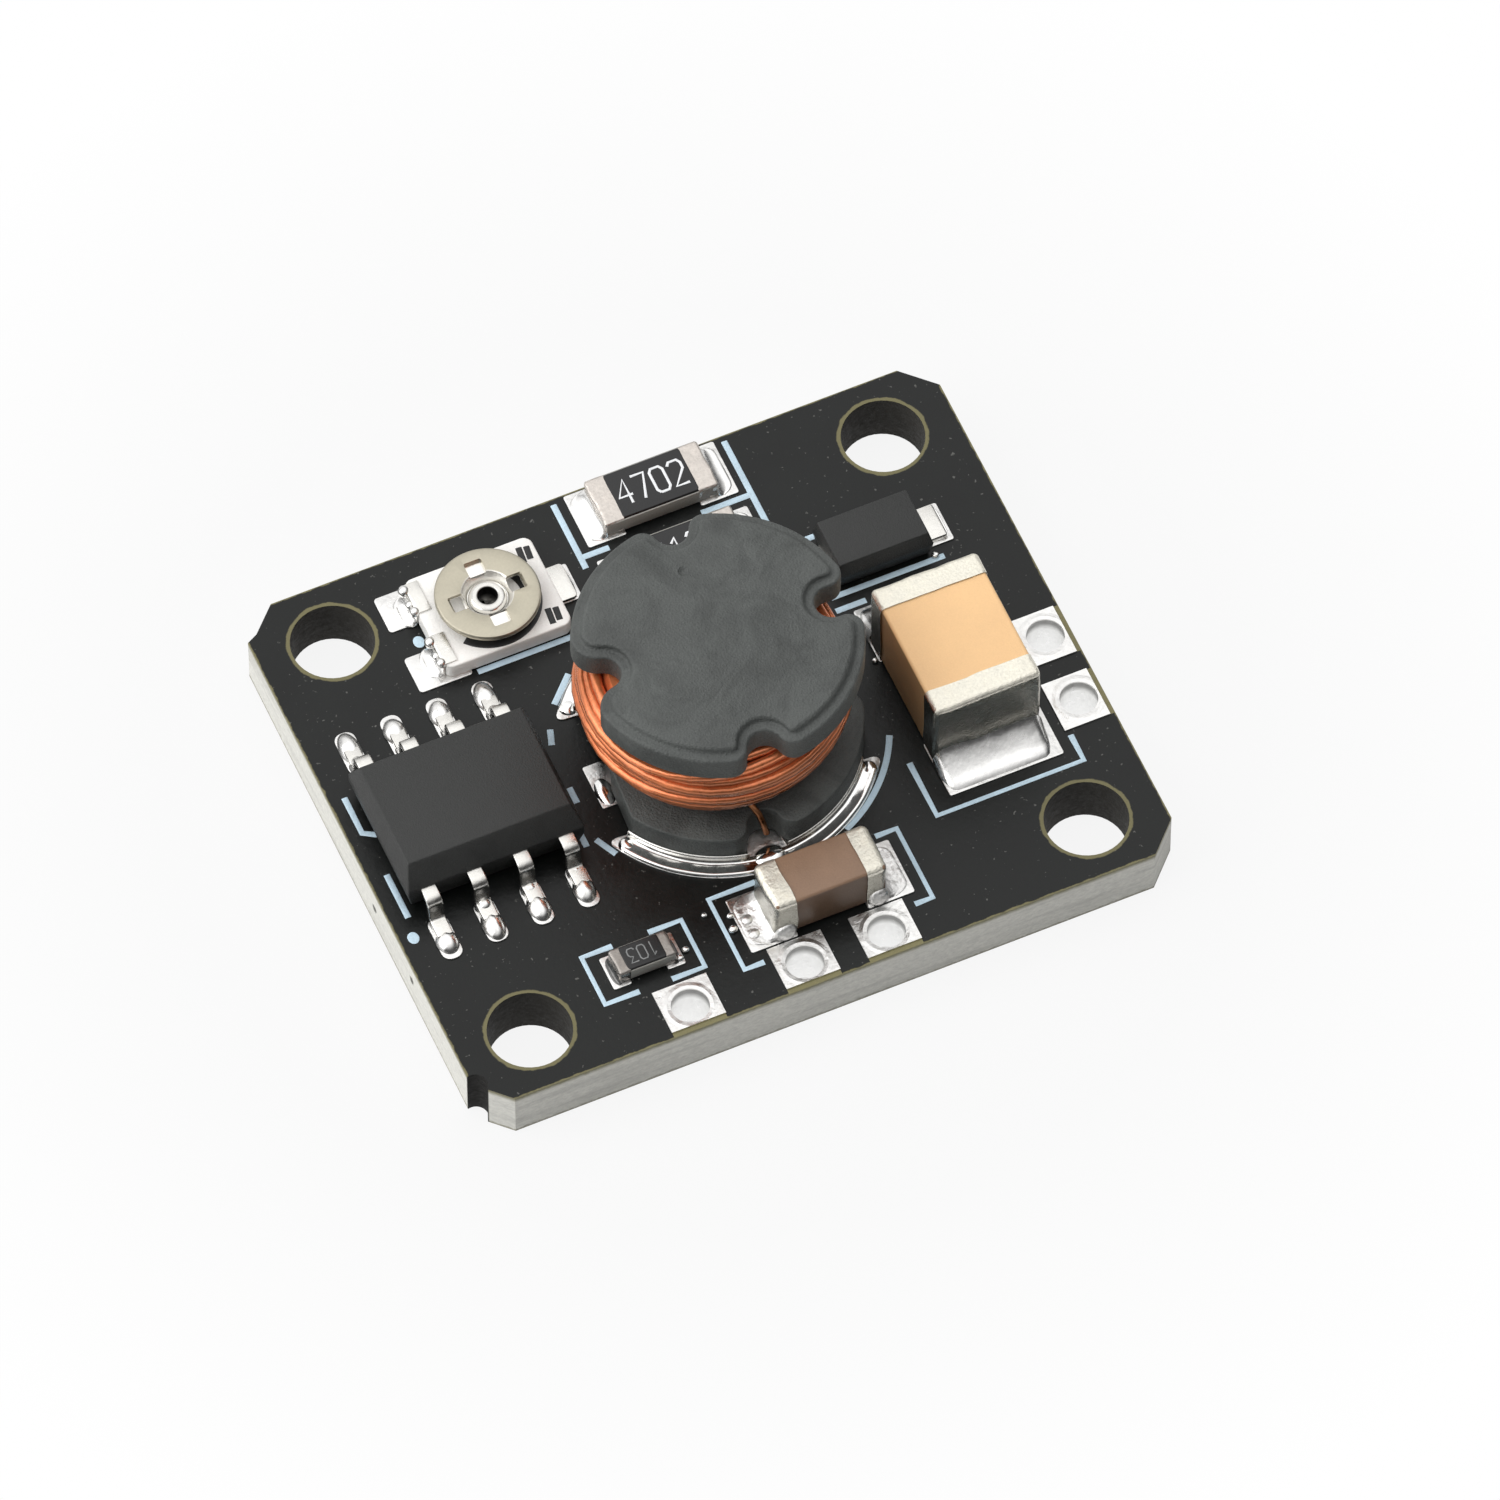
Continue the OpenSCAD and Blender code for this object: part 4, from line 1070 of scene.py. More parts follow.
# The print on the board, in millimetres from the board's middle
PRINT_LINES = [
    [(-0.9, 7.87), (-0.9, 5.75)], [(3.92, 7.87), (3.92, 5.15)],
    [(-0.85, 6.1), (-0.1, 6.1)], [(2.5, 6.1), (3.9, 6.1)],
    [(-4.7, 4.0), (-2.05, 4.0)],
    [(-9.33, 1.9), (-9.33, 0.75), (-9.0, 0.55)], [(-9.25, -0.65), (-9.25, -2.05)],
    [(-4.25, -1.45), (-4.25, -1.95)],
    [(-2.6, 3.0), (-3.3, 2.3)], [(-3.85, 1.2), (-3.7, 1.65)], [(-3.95, -0.15), (-3.95, -0.65)],
    [(-3.95, -1.85), (-3.65, -2.45)], arc((0.25, -0.2), 4.33, -25, -66, 12),
    [(4.5, 2.37), (7.7, 2.37)], [(4.6, 4.27), (4.95, 4.27)], [(4.45, 1.95), (5.3, 1.95)],
    [(4.3, -3.0), (4.3, -4.72), (8.42, -4.72), (8.42, -3.9)],
    [(-0.75, -4.65), (-2.05, -4.65), (-2.05, -6.92), (-1.5, -6.92)],
    [(2.6, -4.65), (3.2, -4.65), (3.2, -6.9), (2.7, -6.9)],
    [(-4.85, -4.92), (-5.7, -4.92), (-5.7, -6.43), (-4.75, -6.43)],
    [(-3.85, -4.92), (-2.93, -4.92), (-2.93, -6.43), (-3.85, -6.43)],
]
PRINT_DOTS = [(-5.72, 5.45), (-9.37, -2.65)]


class MODULE_OT_print(bpy.types.Operator):
    """Draws the printed outlines round the parts"""

    bl_idname = "module.print"
    bl_label = "Printed lines"
    bl_options = {"REGISTER", "UNDO"}

    def execute(self, context):
        look = context.scene.boost_module.board
        lines = [[(x, y, BOARD_TOP) for x, y in line] for line in PRINT_LINES]
        drawn = wire(lines, look.ink_width / MM / 2)
        pieces = [flattened(drawn, 2 * look.ink_height / look.ink_width, BOARD_TOP)]
        for x, y in PRINT_DOTS:
            dot = ball((x, y, BOARD_TOP), (look.dot / MM / 2, look.dot / MM * 0.6, look.ink_height / MM))
            pieces.append(uneven(dot, 0.02, 0.15, "X"))
        settle(joined(pieces), "printed_lines", "pale_blue_print", smooth=60)
        return {"FINISHED"}


class MODULE_OT_chip(bpy.types.Operator):
    """Models the eight pin chip: body, leads and solder"""

    bl_idname = "module.chip"
    bl_label = "Chip"
    bl_options = {"REGISTER", "UNDO"}

    def execute(self, context):
        look = context.scene.boost_module.chip
        low, high = span("chip_body")
        self.body(look, low, high)
        first = (low.x + high.x) / 2 - look.pitch / MM * (look.per_side - 1) / 2
        self.leads(look, low, high, first)
        self.solder(look, middle("chip_body").y, first)
        return {"FINISHED"}

    def body(self, look, low, high):
        centre = (low + high) / 2
        body = block(low, high)
        band, under_draft = 0.14, 0.24
        # Axis and side of each upper slope, and how far it leans inwards
        drafts = ((1, -1, 0.48), (1, 1, 0.28), (0, -1, 0.2), (0, 1, 0.2))
        with Bench(body) as bench:
            for z in (centre.z - band, centre.z + band):
                bench.slice((0, 0, z), (0, 0, 1))
            for axis, side, draft in drafts:
                bench.points(lambda p: p.z > high.z - 0.01 and (p[axis] - centre[axis]) * side > 0)
                bench.move(along_axis(axis, -side * draft))
            bench.points(lambda p: p.z < low.z + 0.01)
            bench.size((1 - under_draft / (high.x - low.x), 1 - under_draft / (high.y - low.y), 1), centre)
        soften(body, look.softness / MM, 3, 20)
        settle(body, "chip_moulding", "black_moulding", ["chip_body"])

    def leads(self, look, low, high, first):
        centre = (low + high) / 2
        thick = look.lead_thickness / MM
        wide = look.lead_width / MM
        line = self.lead_line(centre.z, thick, span("chip_leads")[1].y - high.y)
        lead = ribbon([(first - wide / 2, high.y + u, z) for u, z in line], (wide, 0, 0))
        finished(lead, "SOLIDIFY", thickness=thick, offset=0.0)
        soften(lead, 0.035)
        leads = [lead] + [twin(lead, (look.pitch / MM * i, 0, 0)) for i in range(1, look.per_side)]
        leads += [twin(piece, angle=math.pi, centre=centre) for piece in list(leads)]
        settle(joined(leads), "chip_gull_leads", "plated_lead", ["chip_leads"], smooth=45)

    def lead_line(self, shoulder, thick, reach):
        """Middle line of a gull-wing lead, from inside the body to its toe."""
        stub, bend, slope = 0.2, 0.2, 80
        foot = LAND_TOP + thick / 2
        tilt = math.radians(slope)
        slant = (shoulder - foot - 2 * bend * (1 - math.cos(tilt))) / math.sin(tilt)
        run = stub + 2 * bend * math.sin(tilt) + slant * math.cos(tilt)
        upper = arc((stub, shoulder - bend), bend, 90, 90 - slope, 6)
        lower = arc((run, foot + bend), bend, 270 - slope, 270, 6)
        return [(-stub, shoulder)] + upper + lower + [(reach, foot)]

    def solder(self, look, middle_y, first):
        tip = span("chip_leads")[1].y - middle_y
        lumps = []
        for row in (1, -1):
            for i in range(look.per_side):
                x = first + look.pitch / MM * i
                swell = 1 + 0.12 * math.sin(2.3 * i + 1.4 * row)
                toe = (x, middle_y + row * (tip + 0.1), LAND_TOP - 0.17)
                heel = (x, middle_y + row * (tip - 0.46), LAND_TOP - 0.13)
                lumps.append(ball(toe, (0.33, 0.5 * swell, 0.4), 32))
                lumps.append(ball(heel, (0.27, 0.28, 0.38 * swell), 32))
        solder_joints(lumps, "chip_joints", "chip_solder")


class MODULE_OT_trimmer(bpy.types.Operator):
    """Models the open trimmer: base, track, terminals, eyelet, rotor and solder"""

    bl_idname = "module.trimmer"
    bl_label = "Trimmer"
    bl_options = {"REGISTER", "UNDO"}

    # Distance of the end terminals from the middle line
    apart = 0.85

    def execute(self, context):
        look = context.scene.boost_module.trimmer
        low, high = span("trimmer_base")
        self.at = (low + high) / 2
        tip = span("trimmer_wiper_terminal")[1]
        self.base(low, high, tip)
        self.printing(high)
        self.terminals(low, high, tip)
        self.eyelet(high.z)
        self.rotor(look, high.z)
        self.solder(low, high, tip)
        return {"FINISHED"}

    def base(self, low, high, tip):
        base = rounded(block(low, high), upright, 0.25, 5)
        at, half, bore = self.at, 0.55, 0.4
        channel = block((at.x - half, at.y - half, low.z - 0.2), (high.x + 0.2, at.y + half, tip.z))
        cut(base, [channel, rod(at, bore, low.z - 0.5, high.z + 0.5, 32)])
        soften(base, 0.05, 3, 40)
        settle(base, "trimmer_ceramic", "white_ceramic", ["trimmer_base"])

    def printing(self, high):
        at, top = self.at, high.z
        inner, outer, thick = 0.92, 1.41, 0.03
        ring = [(inner, top - 0.01), (outer, top - 0.01), (outer, top + thick), (inner, top + thick)]
        sweep = math.radians(280)
        track = rotated(turned([(at.x + r, at.y, z) for r, z in ring], at, 60, sweep), -sweep / 2, at)
        soften(track, 0.008)
        settle(track, "trimmer_print", "printed_track", ["trimmer_track"])
        marks = []
        for y, shift in ((0.95, 0.05), (-1.05, 0.0)):
            for i, reach in ((0, 0.24), (1, 0.2)):
                x = at.x + 1.28 + 0.2 * i + shift
                marks.append([(x, at.y + y - reach, top), (x + 0.04, at.y + y + reach, top)])
        bars = flattened(wire(marks, 0.085, 2), 0.18, top)
        settle(bars, "trimmer_marks", "printed_track", smooth=60)

    def terminals(self, low, high, tip):
        sheet, half = 0.045, 0.47
        wraps = []
        for side in (-1, 1):
            y = self.at.y + side * self.apart
            line = [(low.x + 0.36, high.z + sheet / 2)]
            line += arc((low.x + 0.06, high.z - 0.06), 0.06 + sheet / 2, 90, 180, 5)
            line += [(low.x - sheet / 2, low.z)]
            wrap = ribbon([(x, y - half, z) for x, z in line], (0, 2 * half, 0))
            finished(wrap, "SOLIDIFY", thickness=sheet, offset=0.0)
            wraps.append(soften(wrap, 0.012))
        settle(uneven(fine(joined(wraps), 1), 0.02, 0.4), "trimmer_end_plating", "plated_lead",
               ["trimmer_end_terminals"], smooth=50)
        strap = block((self.at.x, self.at.y - 0.55, LAND_TOP), (tip.x, self.at.y + 0.55, tip.z))
        rounded(strap, lambda m, d: upright(m, d) and m.x > tip.x - 0.1, 0.12, 4)
        soften(strap, 0.03)
        settle(strap, "trimmer_strap", "plated_lead", ["trimmer_wiper_terminal"])

    def eyelet(self, base):
        seat = base + 0.2
        foot = LAND_TOP + 0.14
        section = [(0.28, foot), (0.4, foot), (0.4, seat), (0.5, seat), (0.5, seat + 0.03),
                   (0.47, seat + 0.08), (0.42, seat + 0.115), (0.36, seat + 0.13), (0.3, seat + 0.125),
                   (0.255, seat + 0.1), (0.24, seat + 0.06), (0.25, seat)]
        ring = turned([(self.at.x + r, self.at.y, z) for r, z in section], self.at, 48)
        settle(ring, "trimmer_eyelet_ring", "eyelet_tin", ["trimmer_eyelet"], smooth=50)

    def rotor(self, look, base):
        x, y = self.at.x, self.at.y
        hub = base + 0.05
        top = span("trimmer_rotor")[1].z
        section = [(0.43, hub), (0.59, hub), (0.73, top - 0.12), (1.3, top - 0.12), (1.36, top - 0.15),
                   (1.38, top - 0.14), (1.38, top - 0.07), (1.35, top - 0.02), (1.29, top), (0.7, top),
                   (0.66, top - 0.02), (0.55, hub + 0.14), (0.53, hub + 0.12), (0.43, hub + 0.12)]
        disc = turned([(x + r, y, z) for r, z in section], self.at, 96)
        half = look.slot_width / MM / 2
        tip = x + look.slot_reach / MM / 2
        slots = []
        for turn in range(4):
            slot = rounded(block((x + 0.6, y - half, hub + 0.12), (tip, y + half, top)), upright, 0.05, 3)
            with Bench(slot) as bench:
                bench.points(lambda p: p.z < top - 0.1 and p.x > tip - 0.1)
                bench.move((-0.16, 0, 0))
                bench.faces(lambda c, n: n.z > 0.9)
                bpy.ops.mesh.extrude_region_move(TRANSFORM_OT_translate={"value": (0.02, 0, 0.05)})
            slots.append(rotated(slot, math.pi / 2 * turn, self.at))
        cut(disc, slots)
        soften(disc, 0.014, 2, 35)
        floors = []
        edge = 0.05
        for turn in (1, 3):
            low, high = (x + 0.64, y - half - edge, top - 0.155), (tip + edge, y + half + edge, top - 0.115)
            floors.append(rotated(block(low, high), math.pi / 2 * turn, self.at))
        cut(disc, floors, "UNION")
        pieces = [disc]
        for turn in (-10, 10):
            contact = soften(rod((x + 1.14, y), 0.12, base + 0.06, top - 0.12, 20), 0.04, 3)
            pieces.append(rotated(contact, math.radians(turn), self.at))
        settle(joined(pieces), "trimmer_disc", "satin_nickel", ["trimmer_rotor"], "rotor", 30)

    def solder(self, low, high, tip):
        lumps = []
        for side in (-1, 1):
            y = self.at.y + side * self.apart
            lumps.append(fillet(low.x - 0.03, -0.4, 0.36, y - 0.48, y + 0.48, 0, 0.03))
            for along, drop, r in ((-0.36, 0.02, 0.13), (-0.05, 0.16, 0.12), (0.34, 0.05, 0.15)):
                lumps.append(ball((low.x - 0.06, y + along, high.z - drop), (r, r * 1.1, r), 28))
        lumps.append(fillet(tip.x - 0.02, 0.1, 0.11, self.at.y - 0.5, self.at.y + 0.5, 0, 0.0))
        solder_joints(lumps, "trimmer_joints", "trimmer_solder")


class MODULE_OT_inductor(bpy.types.Operator):
    """Models the drum inductor: core, winding, tails, electrodes and solder"""

    bl_idname = "module.inductor"
    bl_label = "Inductor"
    bl_options = {"REGISTER", "UNDO"}

    def execute(self, context):
        look = context.scene.boost_module.inductor
        self.turn = look.twist
        low, high = span("coil_core")
        self.at = middle("coil_winding")
        self.flange = look.flange / MM / 2
        waist = (span("coil_winding")[0].z, span("coil_winding")[1].z)
        self.core(look, low.z, *waist, high.z)
        self.winding(look, *waist)
        self.tails(look, waist[0])
        self.electrodes(low.z)
        self.solder()
        return {"FINISHED"}

    def facing(self, angle, radius, z):
        t = self.turn + math.radians(angle)
        return (self.at.x + radius * math.cos(t), self.at.y + radius * math.sin(t), z)

    def shoulder(self, look, number):
        """Distance of a notch, rounding of its mouth, and where that rounding has its centre."""
        far = (look.notch_end if number % 2 else look.notch_side) / MM
        mouth = (look.wide_mouth if number == 2 else look.mouth) / MM
        inner = self.flange - mouth
        ahead = (inner ** 2 + far ** 2 - (look.notch / MM + mouth) ** 2) / (2 * far)
        return far, mouth, ahead, math.sqrt(inner ** 2 - ahead ** 2)

    def rim(self, look, z):
        """Edge of a flange: a circle with four notches whose mouths are rounded."""
        points = []
        for number in range(4):
            far, mouth, ahead, aside = self.shoulder(look, number)
            lean = math.degrees(math.atan2(aside, ahead))
            inward = math.degrees(math.atan2(aside, ahead - far))
            half = arc((ahead, -aside), mouth, -lean, 180 - inward, 7)
            half += arc((far, 0), look.notch / MM, 360 - inward, 180, 8)[1:]
            loop = half + [(x, -y) for x, y in half[-2::-1]]
            _, _, ahead, aside = self.shoulder(look, (number + 1) % 4)
            following = 90 - math.degrees(math.atan2(aside, ahead))
            loop += arc((0, 0), self.flange, lean, following, 14)[1:-1]
            turn = self.turn + math.pi / 2 * number
            points += [(self.at.x + x * math.cos(turn) - y * math.sin(turn),
                        self.at.y + x * math.sin(turn) + y * math.cos(turn), z) for x, y in loop]
        return points

    def core(self, look, low, waist_low, waist_high, high):
        ledge, raised = look.ledge / MM, look.raised / MM
        shelf = high - raised
        drum = prism(self.rim(look, waist_high), (0, 0, shelf - waist_high))
        with Bench(drum) as bench:
            bench.faces(lambda c, n: abs(n.z) > 0.9 and c.z > shelf - 0.01)
            bpy.ops.mesh.inset(thickness=ledge, depth=0.0, use_even_offset=True)
            bpy.ops.mesh.extrude_region_move(TRANSFORM_OT_translate={"value": (0, 0, raised)})
            bench.points(lambda p: p.z > high - 0.01)
            bench.size((0.985, 0.985, 1), self.at)
        soften(drum, 0.08, 4, 40)
        cut(drum, [ball((0.06, 1.7, high + 0.14), (0.2, 0.2, 0.2))])
        foot = prism(self.rim(look, low), (0, 0, waist_low - low))
        flat = 3.12
        with Bench(foot) as bench:
            inward = (math.cos(self.turn), math.sin(self.turn), 0)
            bench.slice(self.facing(180, flat, low), inward, drop_below=True)
        soften(foot, 0.06, 3, 40)
        cut(drum, [rod(self.at, 1.6, waist_low - 0.3, waist_high + 0.3, 64), foot], "UNION")
        settle(drum, "drum_core", "sintered_ferrite", ["coil_core"], smooth=32)

    def fullness(self, look, height, angle):
        """Distance of the wire from the axis: most near the top, and more at the left than at the right."""
        waist = ((height - 0.62) / 0.62) ** 2
        left = (1 - math.cos(angle - self.turn)) / 2
        return look.winding / MM / 2 - look.slump / MM * waist + look.lopsided / MM * (1 - waist) * left

    def round_the_core(self, look, waist, height, angle, out=0.0):
        r = self.fullness(look, height, angle) + out
        thick = look.wire / MM
        z = waist[0] + thick / 2 + 0.01 + height * (waist[1] - waist[0] - thick - 0.02)
        return (self.at.x + r * math.cos(angle), self.at.y + r * math.sin(angle), z)

    def winding(self, look, low, high):
        steps = 40
        thick = look.wire / MM
        x, y = self.at.x, self.at.y
        wall = []
        for i in range(9):
            out = self.fullness(look, i / 8, 0) - thick * 0.12
            wall.append((x + out, y, low + 0.01 + i / 8 * (high - low - 0.02)))
        sleeve = turned([(x + 1.62, y, low + 0.01)] + wall + [(x + 1.62, y, high - 0.01)], self.at, 64)
        total = look.turns * steps
        lines = [[self.round_the_core(look, (low, high), i / total, math.tau * i / steps,
                                      0.03 * math.sin(math.tau * i / steps * 0.7)) for i in range(total + 1)]]
        for loop in range(look.strays):
            level = 0.16 + 0.68 * loop / (look.strays - 1)
            tilt = 0.13 * math.sin(2.4 * loop + 0.7)
            line = []
            for i in range(steps + 3):
                angle = math.tau * i / steps
                height = level + tilt * math.cos(angle - 1.9 * loop) + 0.025 * math.sin(3 * angle + loop)
                out = thick * 0.5 + 0.04 * math.sin(2 * angle + loop)
                line.append(self.round_the_core(look, (low, high), height, angle, out))
            lines.append(line)
        copper = uneven(joined([sleeve, wire(lines, thick / 2)]), 0.05, 0.8)
        settle(copper, "copper_winding", "enamelled_copper", ["coil_winding"], smooth=50)

    def tails(self, look, waist):
        lines = []
        far = (look.notch_end - look.notch) / MM + 0.18
        path = ((-6, -0.5, 0.28), (-3, -0.25, 0.16), (-1, -0.04, 0.04), (0, 0.03, -0.2), (1, 0.04, -0.5),
                (2, 0.08, -0.8))
        for angle in (90, 270):
            lines.append([self.facing(angle + turn, far + out, waist + rise) for turn, out, rise in path])
        tails = wire(lines, look.tail / MM / 2)
        finished(tails, "SMOOTH", factor=0.5, iterations=1)
        settle(tails, "copper_tails", "bare_tail", ["coil_tails"], smooth=60)

    def electrodes(self, low):
        x, y, f = self.at.x, self.at.y, self.flange
        section = [(2.2, LAND_TOP), (f + 0.05, LAND_TOP), (f + 0.05, LAND_TOP + 0.3),
                   (f + 0.004, LAND_TOP + 0.34), (f + 0.004, low - 0.004), (2.2, low - 0.004)]
        halves = []
        for angle in (32, 98, 212, 278):
            half = turned([(x + r, y, z) for r, z in section], self.at, 24, math.radians(50))
            halves.append(rotated(half, self.turn + math.radians(angle), self.at))
        silver = soften(joined(halves), 0.015)
        settle(silver, "drum_electrodes", "plated_lead", ["coil_electrodes"])

    def solder(self):
        x, y, f = self.at.x, self.at.y, self.flange
        section = [(0.0, 0.0), (0.0, 0.2), (0.015, 0.14), (0.04, 0.105), (0.075, 0.09), (0.12, 0.086),
                   (0.28, 0.086), (0.315, 0.092), (0.35, 0.09), (0.38, 0.076), (0.405, 0.046), (0.415, 0.0)]
        section = [(x + f + 0.02 + u, y, LAND_TOP - 0.01 + v) for u, v in section]
        sweep = 56
        lumps = []
        for angle in (90, 270):
            half = turned(section, self.at, 72, math.radians(2 * sweep))
            lumps.append(rotated(half, self.turn + math.radians(angle - sweep), self.at))
            for end in (-sweep, sweep):
                lumps.append(ball(self.facing(angle + end, f + 0.2, LAND_TOP - 0.05), (0.27, 0.27, 0.15), 28))
            lumps.append(ball(self.facing(angle, f + 0.06, LAND_TOP - 0.03), (0.46, 0.34, 0.23), 32))
        lumps.append(ball((x - f + 0.45, y - 0.3, LAND_TOP - 0.1), (0.3, 0.5, 0.18), 28))
        solder_joints(lumps, "drum_joints", "coil_solder", "smooth_solder")


def metal_end(low, high, axis, side, band, rounding):
    """A metal end with rounded outer edges and a thin open lip towards the body."""
    near, far = low.copy(), high.copy()
    if side < 0:
        far[axis] = low[axis] + band
    else:
        near[axis] = high[axis] - band
    cap = block(near, far)
    outer = low[axis] if side < 0 else high[axis]
    rounded(cap, lambda m, d: abs(m[axis] - outer) < 0.01 or abs(d[axis]) > 0.1, rounding, 6)
    with Bench(cap) as bench:
        bench.faces(lambda c, n: n[axis] * side < -0.9)
        bpy.ops.mesh.inset(thickness=0.03, depth=0.0)
        bpy.ops.mesh.extrude_region_move(TRANSFORM_OT_translate={"value": along_axis(axis, side * 0.1)})
    return fine(cap, 3)


def metal_ends(name, finish, axis, band, rounding, waves, swells):
    """Both metal ends of a flat part, with waves in their edges and swells in their surface."""
    low, high = span(name + "_ends")
    ends = joined([metal_end(low, high, axis, side, band, rounding) for side in (-1, 1)])
    uneven(ends, *waves, "XYZ"[axis])
    uneven(ends, *swells)
    settle(grounded(ends, LAND_TOP), name + "_metal", finish, [name + "_ends"], smooth=60)


def end_joints(name, finish, axis, climb, drops=(), hollow=1.0):
    """Solder that climbs both metal ends of a flat part, each by its own share, with drops beside them."""
    across = 1 - axis
    low, high = span(name + "_ends")
    wet = span(name + "_solder")
    near, far = low[across] - 0.03, high[across] + 0.03
    lumps = [ball(at, radii, 28) for at, radii in drops]
    for side, wall, edge, share in zip((-1, 1), (low[axis], high[axis]), (wet[0][axis], wet[1][axis]), climb):
        reach = edge - wall + side * 0.07
        rise = (wet[1].z - wet[0].z) * share
        lumps.append(fillet(wall - side * 0.05, reach, rise, near, far, axis, hollow=hollow))
    solder_joints(lumps, name + "_joints", name + "_solder", finish)


class MODULE_OT_capacitors(bpy.types.Operator):
    """Models the two multilayer capacitors: blocks, metal ends and solder"""

    bl_idname = "module.capacitors"
    bl_label = "Capacitors"
    bl_options = {"REGISTER", "UNDO"}

    def execute(self, context):
        look = context.scene.boost_module.capacitors
        uneven_ends = ((0.1, 0.9), (0.03, 0.5))
        self.ceramic("large_capacitor", "tan_ceramic")
        metal_ends("large_capacitor", "granular_tin", 1, 0.7, look.round_large / MM, *uneven_ends)
        end_joints("large_capacitor", "bright_solder", 1, (0.6, 0.5), hollow=0.35)

        low, high = span("small_capacitor_ends")
        drops = [((x, low.y + 0.02, LAND_TOP + 0.2), (0.3, 0.17, 0.34)) for x in (low.x + 0.3, high.x - 0.28)]
        drops += [((low.x - 0.4, low.y + y, LAND_TOP - 0.02), (0.17, 0.17, 0.1)) for y in (0.4, 0.85)]
        self.ceramic("small_capacitor", "brown_ceramic")
        metal_ends("small_capacitor", "granular_tin", 0, 0.6, look.round_small / MM, *uneven_ends)
        end_joints("small_capacitor", "mottled_solder", 0, (0.42, 0.42), drops)
        return {"FINISHED"}

    def ceramic(self, name, finish):
        body = soften(block(*span(name + "_body")), 0.1, 4)
        settle(body, name + "_block", finish, [name + "_body"])


class MODULE_OT_resistors(bpy.types.Operator):
    """Models the three flat resistors: plates, coats, figures, metal ends and solder"""

    bl_idname = "module.resistors"
    bl_label = "Resistors"
    bl_options = {"REGISTER", "UNDO"}

    def execute(self, context):
        look = context.scene.boost_module.resistors
        bright = ("white_figures", "pale_tin", "bright_solder")
        # The front resistor's metal ends and solder take the darker copies: painted shade
        faint_and_shaded = ("faint_figures", "dull_tin", "dull_solder")
        # Figures with their height, stroke and shift, the finishes, and how far the solder climbs
        for name, code, height, stroke, shift, finishes, climb in (
                ("rear_resistor", look.rear_code, 0.76, 0.075, 0.0, bright, 1.4),
                ("inner_resistor", look.inner_code, 0.76, 0.075, -0.42, bright, 1.4),
                ("front_resistor", look.front_code, -0.42, 0.036, 0.0, faint_and_shaded, 1.8)):
            print_finish, end_finish, joint_finish = finishes
            plate = soften(block(*span(name + "_substrate")), 0.03)
            settle(plate, name + "_plate", "white_plate", [name + "_substrate"])
            low, high = span(name + "_coat")
            self.coat(name, low, high)
            at = ((low.x + high.x) / 2 + shift, (low.y + high.y) / 2, high.z)
            settle(figures(code, at, height, stroke), name + "_figures", print_finish, smooth=60)
            band = low.x - span(name + "_ends")[0].x
            metal_ends(name, end_finish, 0, band, 0.09, (0.07, 0.4), (0.035, 0.45))
            end_joints(name, joint_finish, 0, (climb, climb))
        return {"FINISHED"}

    def coat(self, name, low, high):
        lap, inset = 0.05, 0.02
        coat = block((low.x - lap, low.y + inset, low.z - inset), (high.x + lap, high.y - inset, high.z))
        rounded(coat, upright, 0.07, 3)
        with Bench(coat) as bench:
            bench.points(lambda p: p.z > high.z - 0.005)
            bench.size((0.97, 0.93, 1), (low + high) / 2)
        soften(coat, 0.02, 3)
        settle(coat, name + "_glaze", "glazed_coat", [name + "_coat"])


class MODULE_OT_diode(bpy.types.Operator):
    """Models the diode: body, leads and solder"""

    bl_idname = "module.diode"
    bl_label = "Diode"
    bl_options = {"REGISTER", "UNDO"}

    def execute(self, context):
        look = context.scene.boost_module.diode
        low, high = span("diode_body")
        centre = (low + high) / 2
        body = block(low, high)
        band = 0.03
        with Bench(body) as bench:
            for z in (centre.z - band, centre.z + band):
                bench.slice((0, 0, z), (0, 0, 1))
            for level, draw in ((high.z, 0.2), (low.z, 0.16)):
                bench.points(lambda p: abs(p.z - level) < 0.01)
                bench.size((1 - draw / (high.x - low.x), 1 - draw / (high.y - low.y), 1), centre)
        soften(body, look.softness / MM, 3, 8)
        settle(body, "diode_moulding_block", "diode_moulding", ["diode_body"])

        low, high = span("diode_leads")
        leads = []
        lead_length = 0.85
        for side, edge in ((-1, low.x), (1, high.x)):
            ends = sorted((edge, edge - side * lead_length))
            lead = block((ends[0], low.y, low.z), (ends[1], high.y, high.z))
            rounded(lead, lambda m, d: abs(m.x - edge) < 0.01, 0.06, 3)
            leads.append(soften(lead, 0.015))
        settle(joined(leads), "diode_straps", "plated_lead", ["diode_leads"])

        lumps = []
        for side, edge in ((-1, low.x), (1, high.x)):
            lumps.append(fillet(edge - side * 0.06, side * 0.14, 0.2, low.y - 0.04, high.y + 0.04, 0))
        solder_joints(lumps, "diode_joints", "diode_solder")
        return {"FINISHED"}


# Place and radius of each stray bead
BEADS = [(7.48, 2.45, 0.1), (4.75, 0.15, 0.09), (-2.35, -5.05, 0.08), (-1.85, -5.75, 0.13),
         (-1.75, -5.35, 0.1), (-3.42, -5.98, 0.11), (-3.2, -5.8, 0.1)]


class MODULE_OT_beads(bpy.types.Operator):
    """Models the stray beads of solder"""

    bl_idname = "module.beads"
    bl_label = "Solder beads"
    bl_options = {"REGISTER", "UNDO"}

    def execute(self, context):
        beads = []
        for x, y, radius in BEADS:
            bead = ball((x, y, BOARD_TOP + radius * 0.55), (radius, radius * 0.9, radius * 0.75), 24)
            beads.append(grounded(uneven(bead, radius * 0.3, radius * 2), BOARD_TOP))
        settle(joined(beads), "solder_beads", "bright_solder", smooth=60)
        return {"FINISHED"}


